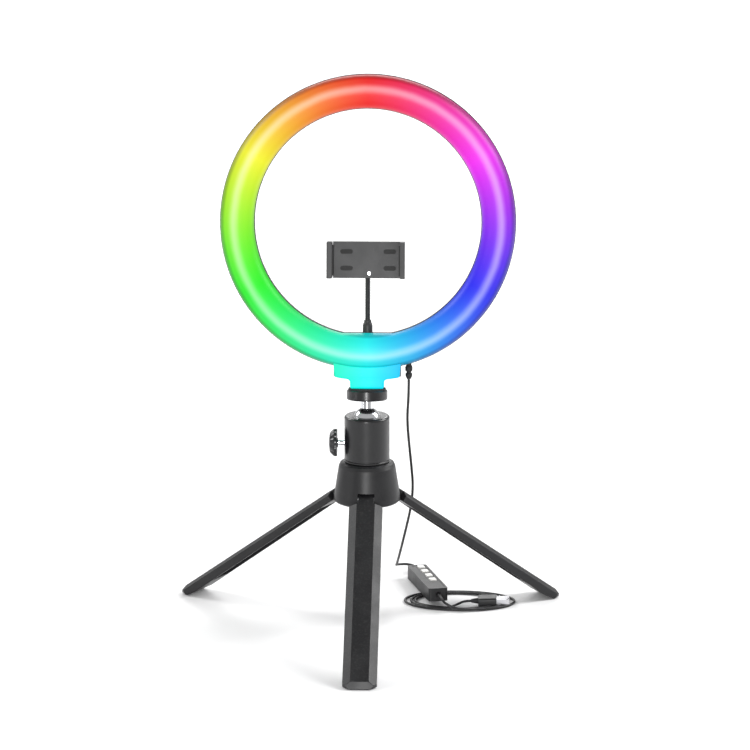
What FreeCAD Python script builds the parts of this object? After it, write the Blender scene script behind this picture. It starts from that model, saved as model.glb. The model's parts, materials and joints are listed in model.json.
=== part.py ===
import FreeCAD, Part
import math
import os
import re
import Sketcher
from FreeCAD import Placement, Rotation, Vector

os.makedirs("parts", exist_ok=True)
doc = FreeCAD.newDocument("RingLight")

# Desk ring light on a mini tripod. The origin is on the floor under the stand's axis,
# -Y is the lit side, +Z is up. All sizes are millimetres and degrees.
SIZES = {
    # ring head
    "ringRadius": 130.0, "ringHole": 99.5, "shellDepth": 11.0, "shellWall": 1.8,
    "shellRound": 4.0, "domeInset": 0.5, "domeWall": 1.6, "holeFlat": 97.5,
    "webHalf": 26.0, "webTall": 7.0, "webThick": 3.0, "blockReach": 9.0, "blockHalf": 29.6,
    "blockDepth": 8.0, "blockRoot": 8.0, "footHalf": 14.9, "footRoot": 4.0,
    "ringLift": 45.0, "boardInset": 4.0, "boardThick": 1.6, "boardDrop": 0.8,
    "chipSize": 2.8, "chipThick": 1.0, "chipCount": 60, "screwCount": 6,
    "screwRadius": 1.4, "screwHead": 2.7, "screwHeadTall": 1.2, "screwSunk": 0.4,
    "seatDepth": 1.6, "recessRadius": 0.98, "recessDepth": 0.8, "screwStart": 30.0, "chipStart": 3.0,
    "postRadius": 3.6,
    # ball head
    "headTilt": 8.2, "ballHeight": 186.7, "ballRadius": 12.5, "stemRadius": 5.85,
    "platformRadius": 18.0, "platformThick": 9.0, "padThick": 1.5, "platformTop": 29.0,
    "studRadius": 3.175, "studReach": 11.0, "insertRadius": 5.0, "insertLength": 13.0,
    "runFit": 0.05, "housingRadius": 20.0, "housingTop": 191.6, "housingBore": 14.0,
    "housingRound": 2.2, "housingFloor": 8.0, "baseLip": 2.3, "baseChamfer": 0.9, "baseEase": 0.4,
    "grooveDepth": 0.8, "grooveWide": 0.5, "cupHeight": 15.0, "cupFloor": 8.0, "cupSlope": 5.0,
    "cupDrop": 2.5, "cupFit": 0.3, "spigotWall": 1.6, "spigotShare": 0.6, "discChamfer": 1.0,
    "screwHeight": 166.5, "lockRadius": 2.5, "lockReach": 10.0, "knobStart": 25.5,
    "knobRadius": 12.5, "knobThick": 8.5, "knobLobes": 10, "scallopRadius": 2.6, "scallopOut": 1.5,
    "lockPoint": 2.2,
    # hub and legs
    "hubTop": 150.0, "hubBottom": 114.0, "hubRadius": 29.5, "hubNeck": 25.0,
    "hubRound": 4.0, "slotTop": 127.0, "slotInner": 14.0, "slotGap": 0.4,
    "pivotRadius": 22.0, "pivotHeight": 121.0, "spreadAngle": 54.3, "pinRadius": 1.5,
    "legWidth": 29.5, "legFlat": 16.0, "legTop": 5.5, "legUnder": 3.2,
    "legUnderFoot": 4.8, "legBevel": 3.2, "legWall": 2.6, "knuckleRadius": 5.5,
    "tongueWidth": 14.0, "shoulderGap": 1.5, "shoulderSlope": 1.2, "noseDrop": 3.9,
    "noseLong": 5.5, "noseSide": 5.3, "hollowStart": 26.0, "hollowStop": 38.0, "pinGrip": 5.0,
    "padProud": 0.6, "footPadLong": 8.0, "footPadWide": 16.0, "footPadThick": 2.4,
    "stackStud": 4.0, "stackSink": 12.0, "stackRise": 5.0, "capRadius": 11.5, "capThick": 1.8,
    "noseBack": 9.0, "noseEase": 4.0, "noseSole": 0.8, "skirtDepth": 12.0,
    # flexible arm and phone clamp
    "armRadius": 2.4, "armDepth": 6.0, "armLink": 8.5, "armGap": 0.3, "armFoot": 11.1,
    "armSunk": 8.0, "nutWall": 0.7, "nutTall": 2.4, "nutDrop": 6.5, "ferruleRadius": 4.35,
    "ferruleNeck": 3.25, "ferruleEase": 0.6, "tipRise": 59.5, "tipBall": 4.2, "tipNeck": 1.9, "tipRod": 1.6,
    "clampRise": 64.9, "clampWide": 63.0, "clampTall": 32.0, "clampThick": 6.2,
    "clampBack": 1.8, "clampLeft": 30.2, "lipThick": 4.0, "jawLip": 5.0, "jawGap": 0.5,
    "lipReach": 14.0, "lipPadThick": 1.2, "lipPadShort": 5.0, "lipPadEase": 1.6, "lipPadRise": 0.4,
    "slideTall": 24.0, "slideThick": 2.6, "slideRise": 2.4,
    "slideLong": 36.0, "slideFit": 0.15, "railSpare": 18.0,
    "swivelRadius": 6.2, "swivelTall": 14.0, "swivelPin": 3.0, "swivelShoulder": 1.8,
    "socketDrop": 2.2, "collarTall": 2.7, "collarThick": 1.3, "gripLong": 11.0, "gripTall": 4.0,
    "gripSink": 0.7, "gripProud": 0.4, "gripLeft": 11.9, "gripRight": 13.2, "gripHigh": 7.4,
    "gripLow": 7.2, "plateScrew": 1.5, "plateScrewX": 1.5, "plateScrewDrop": 11.8,
    "plateScrewSunk": 0.9,
    # remote on the lead
    "remoteLong": 92.0, "remoteWide": 17.5, "remoteTall": 12.0, "remoteSplit": 6.4,
    "remoteWall": 1.6, "remoteRound": 2.2, "buttonLong": 9.0, "buttonWide": 6.0,
    "buttonProud": 0.8, "buttonPitch": 16.35, "buttonFit": 0.2, "buttonShift": 2.1,
    "buttonFirst": 36.5, "buttonRound": 1.4, "flangeOut": 0.8, "flangeThick": 0.9, "buttonSunk": 0.6,
    "remoteBoardThick": 1.2, "remoteBoardDrop": 0.4, "remoteBoardFit": 0.3, "switchWide": 5.0,
    "switchTravel": 0.75, "panelShift": 1.0, "panelSunk": 0.35, "panelSide": 2.7, "panelEnd": 3.0,
    "remoteTurn": 13.8, "remoteLean": 2.8, "remoteX": 40.6, "remoteY": 144.3,
    # lead and plug
    "leadRadius": 1.15, "glandX": 36.5, "glandLong": 13.7, "glandRadius": 3.2, "glandSunk": 1.2,
    "glandStem": 0.9, "glandWaist": 1.1, "glandCuff": 0.2, "reliefWall": 0.5, "reliefRadius": 2.6,
    "reliefEase": 0.3, "reliefStep": 1.2, "reliefHeight": 6.0, "reliefLong": 6.0,
    "coilHalfX": 53.5, "coilHalfY": 31.5, "coilBand": 6.0,
    "coilTall": 2.4, "coilX": 79.0, "coilY": 68.0,
    "plugX": 98.4, "plugY": 59.5, "plugHeight": 3.95, "plugLean": 2.0, "plugLong": 16.5,
    "plugWide": 15.6, "plugThick": 7.6, "plugShellLong": 11.5, "plugShellWide": 12.0,
    "plugShellThick": 4.5, "plugRelief": 6.5, "plugRound": 2.2, "plugShellWall": 0.35,
    "plugTongueThick": 1.7, "plugInset": 0.5, "plugTongueShort": 1.2, "plugReliefRadius": 2.9,
    "plugReliefEase": 0.4, "plugReliefStep": 1.5,
}

sheet = doc.addObject("Spreadsheet::Sheet", "Sizes")
for row, (alias, size) in enumerate(SIZES.items(), start=1):
    sheet.set("A%d" % row, alias)
    sheet.set("B%d" % row, str(size))
    sheet.setAlias("B%d" % row, alias)
doc.recompute()

WORD = re.compile(r"[A-Za-z_]\w*")
nodes = []


def val(text):
    """Number that an expression of the sheet's sizes stands for."""
    return float(sheet.evalExpression(str(text)))


def bound(text):
    """The same expression as another object reads it."""
    return WORD.sub(lambda m: "Sizes." + m.group(0) if m.group(0) in SIZES else m.group(0), str(text))


def at(x="0", y="0", z="0", turn=None):
    return Placement(Vector(val(x), val(y), val(z)), turn or Rotation())


ALONG_X = Rotation(Vector(0, 1, 0), 90)
ALONG_Y = Rotation(Vector(1, 0, 0), -90)
DOWN_Y = Rotation(Vector(1, 0, 0), 90)
DOWN_Z = Rotation(Vector(1, 0, 0), 180)


# ---- building blocks -------------------------------------------------------

def set_sizes(piece, sizes, place):
    for name, text in sizes.items():
        piece.setExpression(name, bound(text))
    piece.Placement = place or Placement()
    return piece


def cylinder(name, radius, height, place=None):
    piece = doc.addObject("Part::Cylinder", name)
    return set_sizes(piece, {"Radius": radius, "Height": height}, place)


def cone(name, low, high, height, place=None):
    piece = doc.addObject("Part::Cone", name)
    return set_sizes(piece, {"Radius1": low, "Radius2": high, "Height": height}, place)


def sphere(name, radius, place=None):
    piece = doc.addObject("Part::Sphere", name)
    return set_sizes(piece, {"Radius": radius}, place)


def torus(name, radius, section):
    piece = doc.addObject("Part::Torus", name)
    return set_sizes(piece, {"Radius1": radius, "Radius2": section}, None)


def box(name, size, low):
    """Box of size (x, y, z) expressions whose lowest corner is at low."""
    piece = doc.addObject("Part::Box", name)
    sizes = dict(zip(("Length", "Width", "Height"), size))
    return set_sizes(piece, sizes, at(*low))


def middle_box(name, size, centre, turn=None):
    """Box centred in X and Y on centre, standing on centre's Z."""
    half = Vector(-val(size[0]) / 2, -val(size[1]) / 2, 0)
    piece = doc.addObject("Part::Box", name)
    sizes = dict(zip(("Length", "Width", "Height"), size))
    return set_sizes(piece, sizes, at(*centre, turn).multiply(Placement(half, Rotation())))


def cut(name, base, *tools):
    for index, tool in enumerate(tools):
        piece = doc.addObject("Part::Cut", name if index == len(tools) - 1 else name + "Step")
        piece.Base = base
        piece.Tool = tool
        base = piece
    return base


def fuse(name, *pieces):
    piece = doc.addObject("Part::MultiFuse", name)
    piece.Shapes = list(pieces)
    piece.Refine = True
    return piece


def common(name, base, tool):
    piece = doc.addObject("Part::Common", name)
    piece.Base = base
    piece.Tool = tool
    return piece


def group(name, pieces):
    piece = doc.addObject("Part::Compound", name)
    piece.Links = list(pieces)
    return piece


def outline(body, role, points):
    """Closed sketch whose corners are held by the sheet's sizes."""
    plane = [f for f in body.Origin.OriginFeatures if f.Role == role][0]
    sketch = body.newObject("Sketcher::SketchObject", body.Name + "Outline")
    sketch.AttachmentSupport = [(plane, "")]
    sketch.MapMode = "FlatFace"
    corners = [Vector(val(x), val(y), 0) for x, y in points]
    ends = corners[1:] + corners[:1]
    sketch.addGeometry([Part.LineSegment(a, b) for a, b in zip(corners, ends)], False)
    for line in range(len(corners)):
        after = (line + 1) % len(corners)
        sketch.addConstraint(Sketcher.Constraint("Coincident", line, 2, after, 1))
    for line, (corner, texts) in enumerate(zip(corners, points)):
        for kind, number, text in zip(("DistanceX", "DistanceY"), corner, texts):
            held = sketch.addConstraint(Sketcher.Constraint(kind, -1, 1, line, 1, number))
            sketch.setExpression("Constraints[%d]" % held, bound(text))
    return sketch


def turned(name, points):
    """Body turned about Z from a closed outline of (radius, height) expressions."""
    body = doc.addObject("PartDesign::Body", name)
    sketch = outline(body, "XZ_Plane", points)
    turn = body.newObject("PartDesign::Revolution", name + "Turn")
    turn.Profile = sketch
    turn.ReferenceAxis = (sketch, ["V_Axis"])
    turn.Angle = 360
    doc.recompute()
    return body


def padded(name, role, points, length):
    """Body padded both ways from a closed outline on one of its planes."""
    body = doc.addObject("PartDesign::Body", name)
    pad = body.newObject("PartDesign::Pad", name + "Pad")
    pad.Profile = outline(body, role, points)
    pad.Midplane = True
    pad.setExpression("Length", bound(length))
    doc.recompute()
    return body


def dress(body, kind, size, chosen):
    """Fillet or Chamfer on the edges that chosen(edge) picks."""
    names = ["Edge%d" % (i + 1) for i, edge in enumerate(body.Tip.Shape.Edges) if chosen(edge)]
    feature = body.newObject("PartDesign::" + kind, body.Name + kind)
    feature.Base = (body.Tip if body.Tip is not feature else feature.BaseFeature, names)
    feature.setExpression("Radius" if kind == "Fillet" else "Size", bound(size))
    body.Tip = feature
    doc.recompute()
    return body


def ring_edge(radius, height):
    """Picks full circles of this radius at this height."""
    def chosen(edge):
        curve = edge.Curve
        is_circle = isinstance(curve, Part.Circle)
        if not is_circle:
            return False
        return abs(curve.Radius - val(radius)) < 0.01 and abs(curve.Center.z - val(height)) < 0.01
    return chosen


def node(name, piece, place=None):
    """Name a finished sub-part and put it in its place."""
    piece.Label = name
    if place is not None:
        piece.Placement = place.multiply(piece.Placement)
    nodes.append(piece)
    return piece


def polar(count, radius, z="0", start="0"):
    """Placements evenly spaced on a circle, each turned to face outwards."""
    places = []
    for index in range(int(val(count))):
        turn = Rotation(Vector(0, 0, 1), val(start) + 360.0 * index / val(count))
        places.append(Placement(turn.multVec(Vector(val(radius), 0, val(z))), turn))
    return places


# ---- frames ----------------------------------------------------------------

# The head leans back about the ball's centre. Its Z runs up the stem.
headFrame = Placement(Vector(0, 0, val("ballHeight")), Rotation(Vector(1, 0, 0), -val("headTilt")))
# The ring's frame has Z out of the lit face and Y up the stem.
ringFrame = headFrame.multiply(at("0", "0", "ringRadius + ringLift", DOWN_Y))

meanRadius = "(ringRadius + ringHole) / 2"
domeRadius = "(ringRadius - ringHole) / 2 - domeInset"
blockRadius = "ringRadius + blockReach"
footLow = "platformTop - (ringRadius + ringLift)"


# ---- ring head -------------------------------------------------------------

def block_half(name, low, outset):
    """One half of the mount block under the ring, from depth low, blockDepth thick."""
    wide = box(name + "Wide", ("2 * blockHalf", "blockReach + blockRoot", "blockDepth"),
               ("-blockHalf", "-(%s)" % blockRadius, low))
    rim = cylinder(name + "Rim", blockRadius, "blockDepth", at(z=low))
    bore = cylinder(name + "Inside", outset, "blockDepth + 2", at(z="%s - 1" % low))
    curved = cut(name + "Curved", common(name + "Sector", wide, rim), bore)
    footTall = "-(%s) - (%s) + footRoot" % (footLow, blockRadius)
    foot = box(name + "Foot", ("2 * footHalf", footTall, "blockDepth"),
               ("-footHalf", footLow, low))
    return curved, foot


def insert_bore(name, radius):
    return cylinder(name, radius, "insertLength + 1", at(y="%s - 1" % footLow, turn=ALONG_Y))


halfSpace = cylinder("DomeFloor", "ringRadius + 20", "40", at(z="-40"))
domeOuter = torus("DomeOuter", meanRadius, domeRadius)
domeInner = torus("DomeInner", meanRadius, "%s - domeWall" % domeRadius)
web = common("DomeWeb",
             box("DomeWebBox", ("2 * webHalf", "webTall", "webThick"),
                 ("-webHalf", "-(holeFlat + webTall)", "0")),
             cylinder("DomeWebRim", "%s - %s + 1.2" % (meanRadius, domeRadius), "webThick"))
frontWide, frontFoot = block_half("FrontBlock", "0", "%s + %s - 1" % (meanRadius, domeRadius))
domeShell = cut("DomeShell", domeOuter, domeInner, halfSpace)
diffuser = cut("FrontDiffuser", fuse("DomeWithBlock", domeShell, web, frontWide, frontFoot),
               insert_bore("FrontInsertBore", "insertRadius"))
node("front_diffuser", diffuser, ringFrame)

shellFloor = "-shellDepth + shellWall"
shell = turned("ShellChannel", [
    ("ringHole", "0"), ("ringHole", "-shellDepth"), ("ringRadius", "-shellDepth"), ("ringRadius", "0"),
    ("ringRadius - shellWall", "0"), ("ringRadius - shellWall", shellFloor),
    ("ringHole + shellWall", shellFloor), ("ringHole + shellWall", "0")])
for rim in ("ringRadius", "ringHole"):
    dress(shell, "Fillet", "shellRound", ring_edge(rim, "-shellDepth"))
posts = []
pilots = []
for index, place in enumerate(polar("screwCount", meanRadius, "-shellDepth", "screwStart")):
    posts.append(cylinder("Post%d" % index, "postRadius", "shellDepth - boardDrop - boardThick",
                          Placement(place.Base, Rotation())))
    pilots.append(cylinder("Pilot%d" % index, "screwRadius", "shellDepth + 4",
                           Placement(place.Base - Vector(0, 0, 2), Rotation())))
    pilots.append(cylinder("HeadSeat%d" % index, "screwHead", "seatDepth + 2",
                           Placement(place.Base - Vector(0, 0, 2), Rotation())))
backWide, backFoot = block_half("BackBlock", "-blockDepth", "ringRadius - 1")
backWeb = common("BackWeb",
                 box("BackWebBox", ("2 * webHalf", "webTall", "shellDepth - shellWall"),
                     ("-webHalf", "-(holeFlat + webTall)", "-shellDepth + shellWall")),
                 cylinder("BackWebRim", "ringHole + 1", "shellDepth + 2", at(z="-shellDepth - 1")))
armBore = cylinder("ArmBore", "armRadius", "24", at(y="-(holeFlat + 12)", z="-armDepth", turn=ALONG_Y))
glandBore = cylinder("GlandBore", "glandRadius - glandStem", "10",
                     at("glandX", "-ringRadius", "-armDepth", ALONG_Y))
backShell = cut("BackShell", fuse("BackWithBlock", shell, backWide, backFoot, backWeb, *posts),
                fuse("Pilots", *pilots), insert_bore("BackInsertBore", "insertRadius"), armBore, glandBore)
node("back_shell", backShell, ringFrame)

screws = []
for index, place in enumerate(polar("screwCount", meanRadius, "-shellDepth", "screwStart")):
    sunk = Placement(place.Base + Vector(0, 0, val("screwSunk")), Rotation())
    shank = cylinder("Shank%d" % index, "screwRadius", "shellDepth - boardDrop - screwSunk",
                     sunk)
    head = cylinder("Head%d" % index, "screwHead", "screwHeadTall", sunk)
    recess = cylinder("Recess%d" % index, "recessRadius", "recessDepth", place)
    screws.append(cut("ShellScrew%d" % index, fuse("ScrewBlank%d" % index, shank, head), recess))
node("shell_screws", group("ShellScrews", screws), ringFrame)

boardLow = "-boardDrop - boardThick"
boardHoles = [cylinder("BoardHole%d" % i, "screwRadius", "boardThick + 2", Placement(p.Base, Rotation()))
              for i, p in enumerate(polar("screwCount", meanRadius, "%s - 1" % boardLow, "screwStart"))]
board = cut("LedBoard", cylinder("BoardDisc", "ringRadius - boardInset", "boardThick", at(z=boardLow)),
            cylinder("BoardCore", "ringHole + boardInset", "boardThick + 2", at(z="%s - 1" % boardLow)),
            fuse("BoardHoles", *boardHoles))
node("led_board", board, ringFrame)
chips = []
for index, place in enumerate(polar("chipCount", meanRadius, "-boardDrop", "chipStart")):
    corner = Placement(Vector(-val("chipSize") / 2, -val("chipSize") / 2, 0), Rotation())
    chip = doc.addObject("Part::Box", "Chip%d" % index)
    chips.append(set_sizes(chip, {"Length": "chipSize", "Width": "chipSize", "Height": "chipThick"},
                           place.multiply(corner)))
node("led_chips", group("LedChips", chips), ringFrame)

insert = cut("ThreadInsert",
             cylinder("InsertBlank", "insertRadius", "insertLength", at(y=footLow, turn=ALONG_Y)),
             cylinder("InsertBore", "studRadius + runFit", "insertLength + 2",
                      at(y="%s - 1" % footLow, turn=ALONG_Y)))
node("thread_insert", insert, ringFrame)

glandTop = "sqrt(ringRadius * ringRadius - glandX * glandX) - glandSunk"
gland = turned("CableGland", [
    ("0", "0"), ("glandRadius - glandStem", "0"), ("glandRadius - glandStem", "glandLong * 0.18"),
    ("glandRadius", "glandLong * 0.31"), ("glandRadius", "glandLong * 0.54"),
    ("glandRadius - glandWaist", "glandLong * 0.61"), ("glandRadius - glandWaist", "glandLong * 0.67"),
    ("glandRadius - glandCuff", "glandLong * 0.74"), ("glandRadius - glandCuff", "glandLong * 0.89"),
    ("leadRadius + reliefWall", "glandLong + glandSunk"), ("0", "glandLong + glandSunk")])
node("cable_gland", gland, ringFrame.multiply(at("glandX", "-(%s)" % glandTop, "-armDepth", DOWN_Y)))

# ---- flexible arm ----------------------------------------------------------

# The arm's frame starts on the flat of the ring's opening, Z up the arm.
armFrame = ringFrame.multiply(at("0", "-holeFlat", "-armDepth", ALONG_Y))
ferrule = turned("ArmFerrule", [
    ("armRadius", "0"), ("ferruleRadius", "0"), ("ferruleRadius", "armFoot * 0.55"),
    ("ferruleNeck + ferruleEase", "armFoot * 0.72"), ("ferruleNeck", "armFoot * 0.8"),
    ("ferruleNeck", "armFoot - ferruleEase"), ("ferruleNeck - ferruleEase", "armFoot"),
    ("armRadius", "armFoot")])
node("arm_ferrule", ferrule, armFrame)
armNut = cut("ArmNut", cylinder("NutBlank", "armRadius + nutWall", "nutTall"),
             cylinder("NutBore", "armRadius", "nutTall"))
node("arm_nut", armNut, armFrame.multiply(at(z="-nutDrop")))


def arm_link(name, low, high, flat_foot=False):
    """One rounded link of the arm between two heights of its axis."""
    start = val(low) if flat_foot else val(low) + val("armGap") / 2 + val("armRadius")
    length = val(high) - val("armGap") / 2 - val("armRadius") - start
    rod = cylinder(name + "Rod", "armRadius", str(length), Placement(Vector(0, 0, start), Rotation()))
    ends = [sphere(name + "Top", "armRadius", Placement(Vector(0, 0, start + length), Rotation()))]
    if not flat_foot:
        ends.append(sphere(name + "Foot", "armRadius", Placement(Vector(0, 0, start), Rotation())))
    return fuse(name, rod, *ends)


node("arm_root", arm_link("ArmRoot", "-armSunk", "armFoot + armLink", flat_foot=True), armFrame)
for index in (1, 2, 3):
    low = "armFoot + %d * armLink" % index
    high = "armFoot + %d * armLink" % (index + 1)
    node("arm_link_%d" % index, arm_link("ArmLink%d" % index, low, high), armFrame)
tipStart = "armFoot + 4 * armLink + armGap / 2 + armRadius"
tipLink = fuse("ArmTip", sphere("TipFoot", "armRadius", at(z=tipStart)),
               cylinder("TipRod", "armRadius", "tipRod", at(z=tipStart)),
               cylinder("TipNeck", "tipNeck", "tipRise - (%s)" % tipStart, at(z=tipStart)),
               sphere("TipBall", "tipBall", at(z="tipRise")))
node("arm_tip_ball", tipLink, armFrame)

# ---- phone clamp -----------------------------------------------------------

# The socket stands on the arm's ball. A pin in front of it carries the clamp.
socketLow = "tipRise - socketDrop"
socketBody = cylinder("SocketBlank", "swivelRadius", "swivelTall", at(z=socketLow))
socketBall = sphere("SocketBall", "tipBall + runFit", at(z="tipRise"))
socketMouth = cone("SocketMouth", "tipBall + 1.4", "tipBall - 0.7", "2.4", at(z="%s - 0.6" % socketLow))
pinRise = "clampRise"
pinFace = "armDepth + clampBack"
pinPlace = at(z=pinRise, turn=DOWN_Y)
socketPin = cylinder("SocketPin", "swivelPin", "%s + slideRise - slideFit - 0.2" % pinFace, pinPlace)
socketPad = cylinder("SocketPad", "swivelPin + swivelShoulder", "%s - 0.3" % pinFace, pinPlace)
socket = cut("ClampSocket", fuse("SocketBlock", socketBody, socketPin, socketPad), socketBall, socketMouth)
node("clamp_socket", socket, armFrame)
collar = cut("ClampCollar",
             cylinder("CollarBlank", "swivelRadius + collarThick", "collarTall", at(z=socketLow)),
             cylinder("CollarBore", "swivelRadius", "6", at(z="%s - 1" % socketLow)))
node("clamp_collar", collar, armFrame)

# The clamp's frame is on the pin's axis at the back face, Z towards the viewer, X to the right.
clampFrame = ringFrame.multiply(at("0", "clampRise - holeFlat", "clampBack"))
clampRight = "clampWide - clampLeft"
plate = box("ClampPlate", ("clampWide", "clampTall", "clampThick"), ("-clampLeft", "-clampTall / 2", "0"))
fixedLip = box("FixedLip", ("lipThick", "clampTall", "lipReach"),
               ("%s - lipThick" % clampRight, "-clampTall / 2", "0"))
railZ = "slideRise"
rail = box("RailSpace", ("slideLong + railSpare", "slideTall + 2 * slideFit", "slideThick + 2 * slideFit"),
           ("-clampLeft - 1", "-slideTall / 2 - slideFit", "%s - slideFit" % railZ))
pinBore = cylinder("PinBore", "swivelPin + runFit", "3.6", at(z="-0.5"))
gripPlaces = [(x, y) for x in ("-clampLeft + gripLeft", "%s - gripRight" % clampRight)
              for y in ("gripHigh", "-gripLow")]


def grip(name, x, y, low, thick):
    """Long pad with round ends, lying along X."""
    bar = middle_box(name + "Bar", ("gripLong - gripTall", "gripTall", thick), (x, y, low))
    ends = [cylinder("%sEnd%d" % (name, side), "gripTall / 2", thick,
                     at("%s + %d * (gripLong - gripTall) / 2" % (x, side), y, low)) for side in (-1, 1)]
    return fuse(name, bar, *ends)


sinks = [grip("GripSink%d" % i, x, y, "clampThick - gripSink", "2 * gripSink")
         for i, (x, y) in enumerate(gripPlaces)]
screwPlace = at("plateScrewX", "-plateScrewDrop", "clampThick - plateScrewSunk")
screwSeat = cylinder("ClampScrewSeat", "plateScrew", "2 * plateScrewSunk", screwPlace)
clampBody = cut("ClampBody", fuse("ClampBlank", plate, fixedLip),
                rail, pinBore, fuse("GripSinks", *sinks), screwSeat)
node("clamp_body", clampBody, clampFrame)
grips = [grip("Grip%d" % i, x, y, "clampThick - gripSink", "gripSink + gripProud")
         for i, (x, y) in enumerate(gripPlaces)]
node("clamp_grips", group("ClampGrips", grips), clampFrame)
plateScrew = cut("ClampScrew", cylinder("ClampScrewHead", "plateScrew", "plateScrewSunk - 0.1", screwPlace),
                 middle_box("ClampScrewSlot", ("plateScrew * 1.6", "plateScrew / 3", "plateScrewSunk"),
                            ("plateScrewX", "-plateScrewDrop", "clampThick - plateScrewSunk / 2")))
node("clamp_screw", plateScrew, clampFrame)
jawFace = "-clampLeft - jawGap"
jawLip = box("JawLip", ("jawLip", "clampTall", "lipReach"), ("%s - jawLip" % jawFace, "-clampTall / 2", "0"))
jawSlide = box("JawSlide", ("slideLong + 0.5", "slideTall", "slideThick"),
               ("%s - 0.5" % jawFace, "-slideTall / 2", railZ))
node("clamp_jaw", fuse("ClampJaw", jawLip, jawSlide), clampFrame)
slideEnd = "-clampLeft - jawGap + slideLong"
springLong = "slideLong + railSpare - 1 - clampLeft - 0.2 - (%s)" % slideEnd
node("clamp_spring", cylinder("ClampSpring", "slideThick / 2", springLong),
     clampFrame.multiply(at(slideEnd, "0", "slideRise + slideThick / 2", ALONG_X)))
lipPad = ("lipPadThick", "clampTall - lipPadShort", "lipReach - clampThick - lipPadEase")
padLow = "-(clampTall - lipPadShort) / 2"
fixedFace = "%s - lipThick - lipPadThick" % clampRight
node("jaw_pad_fixed", box("FixedPad", lipPad, (fixedFace, padLow, "clampThick + lipPadRise")), clampFrame)
node("jaw_pad_sliding", box("SlidingPad", lipPad, (jawFace, padLow, "clampThick + lipPadRise")), clampFrame)

# ---- ball head -------------------------------------------------------------

stemTop = "platformTop - platformThick - padThick"
ballStem = fuse("BallStem", sphere("Ball", "ballRadius"), cylinder("Stem", "stemRadius", stemTop),
                cylinder("StemSpigot", "studRadius + spigotWall",
                         "%s + platformThick * spigotShare" % stemTop))
node("ball_stem", ballStem, headFrame)
disc = turned("PlatformDisc", [
    ("0", "0"), ("platformRadius - discChamfer", "0"), ("platformRadius", "discChamfer"),
    ("platformRadius", "platformThick - discChamfer"), ("platformRadius - discChamfer", "platformThick"),
    ("0", "platformThick")])
spigotHole = cylinder("SpigotHole", "studRadius + spigotWall", "platformThick * spigotShare + 1", at(z="-1"))
studHole = cylinder("StudHole", "studRadius", "platformThick + 2", at(z="-1"))
node("platform_disc", cut("Platform", disc, spigotHole, studHole), headFrame.multiply(at(z=stemTop)))
pad = cut("PlatformPad", cylinder("PadDisc", "platformRadius - 1.5", "padThick"),
          cylinder("PadHole", "studRadius + 0.4", "padThick + 2", at(z="-1")))
node("platform_pad", pad, headFrame.multiply(at(z="platformTop - padThick")))
studTop = "platformThick * (1 - spigotShare) + padThick + studReach"
stud = turned("MountStud", [
    ("0", "0"), ("studRadius", "0"), ("studRadius", "%s - studRadius / 4" % studTop),
    ("studRadius * 0.75", studTop), ("0", studTop)])
node("mount_stud", stud, headFrame.multiply(at(z="%s + platformThick * spigotShare" % stemTop)))

lipTop = "housingTop - hubTop - baseLip"
housingBlank = turned("HousingBlank", [
    ("0", "0"), ("housingRadius - grooveDepth", "0"), ("housingRadius - grooveDepth", "grooveWide"),
    ("housingRadius", "grooveWide"), ("housingRadius", lipTop), ("0", lipTop)])
dress(housingBlank, "Fillet", "housingRound", ring_edge("housingRadius", lipTop))
ballUp = "ballHeight - hubTop - baseLip"
housing = cut("HeadHousing", housingBlank,
              cylinder("HousingBore", "housingBore", "%s - housingFloor - 1" % ballUp, at(z="housingFloor")),
              sphere("BallSeat", "ballRadius + runFit", at(z=ballUp)),
              cylinder("LockBore", "lockRadius + runFit", "30",
                       at("-30", "0", "screwHeight - hubTop - baseLip", ALONG_X)),
              cylinder("StudWell", "stackStud", "stackRise + 1", at(z="-1")))
node("head_housing", housing, at(z="hubTop + baseLip"))
lip = turned("HousingBase", [
    ("stackStud", "0"), ("housingRadius - baseChamfer", "0"), ("housingRadius", "baseChamfer"),
    ("housingRadius", "baseLip - baseEase"), ("housingRadius - baseEase", "baseLip"),
    ("stackStud", "baseLip")])
node("housing_base", lip, at(z="hubTop"))
node("stack_stud", cylinder("StackStud", "stackStud", "baseLip + stackRise + stackSink"),
     at(z="hubTop - stackSink"))

cupTop = "ballHeight - cupDrop"
cupBlank = turned("CupBlank", [
    ("0", "0"), ("cupFloor", "0"), ("housingBore - cupFit", "cupSlope"),
    ("housingBore - cupFit", "cupHeight"), ("0", "cupHeight")])
cup = cut("PressureCup", cupBlank, sphere("CupSeat", "ballRadius + runFit", at(z="cupHeight + cupDrop")))
node("pressure_cup", cup, at(z="%s - cupHeight" % cupTop))

lockScrew = turned("LockScrew", [
    ("0", "lockReach"), ("lockRadius / 3", "lockReach"), ("lockRadius", "lockReach + lockPoint"),
    ("lockRadius", "knobStart + knobThick * 0.6"), ("0", "knobStart + knobThick * 0.6")])
outX = Rotation(Vector(0, 1, 0), -90)
node("lock_screw", lockScrew, at(z="screwHeight", turn=outX))
knobBlank = turned("KnobBlank", [
    ("0", "0"), ("knobRadius - 0.6", "0"), ("knobRadius", "0.6"), ("knobRadius", "knobThick * 0.6"),
    ("knobRadius - 1.5", "knobThick * 0.85"), ("knobRadius - 4.5", "knobThick"), ("0", "knobThick")])
scallops = [cylinder("Scallop%d" % i, "scallopRadius", "knobThick + 2", Placement(p.Base, Rotation()))
            for i, p in enumerate(polar("knobLobes", "knobRadius + scallopOut", "-1"))]
knob = cut("LockKnob", knobBlank, fuse("Scallops", *scallops),
           cylinder("KnobBore", "lockRadius", "knobThick * 0.6 + 1", at(z="-1")))
node("lock_knob", knob, at("-knobStart", "0", "screwHeight", outX))

# ---- hub and legs ----------------------------------------------------------

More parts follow.
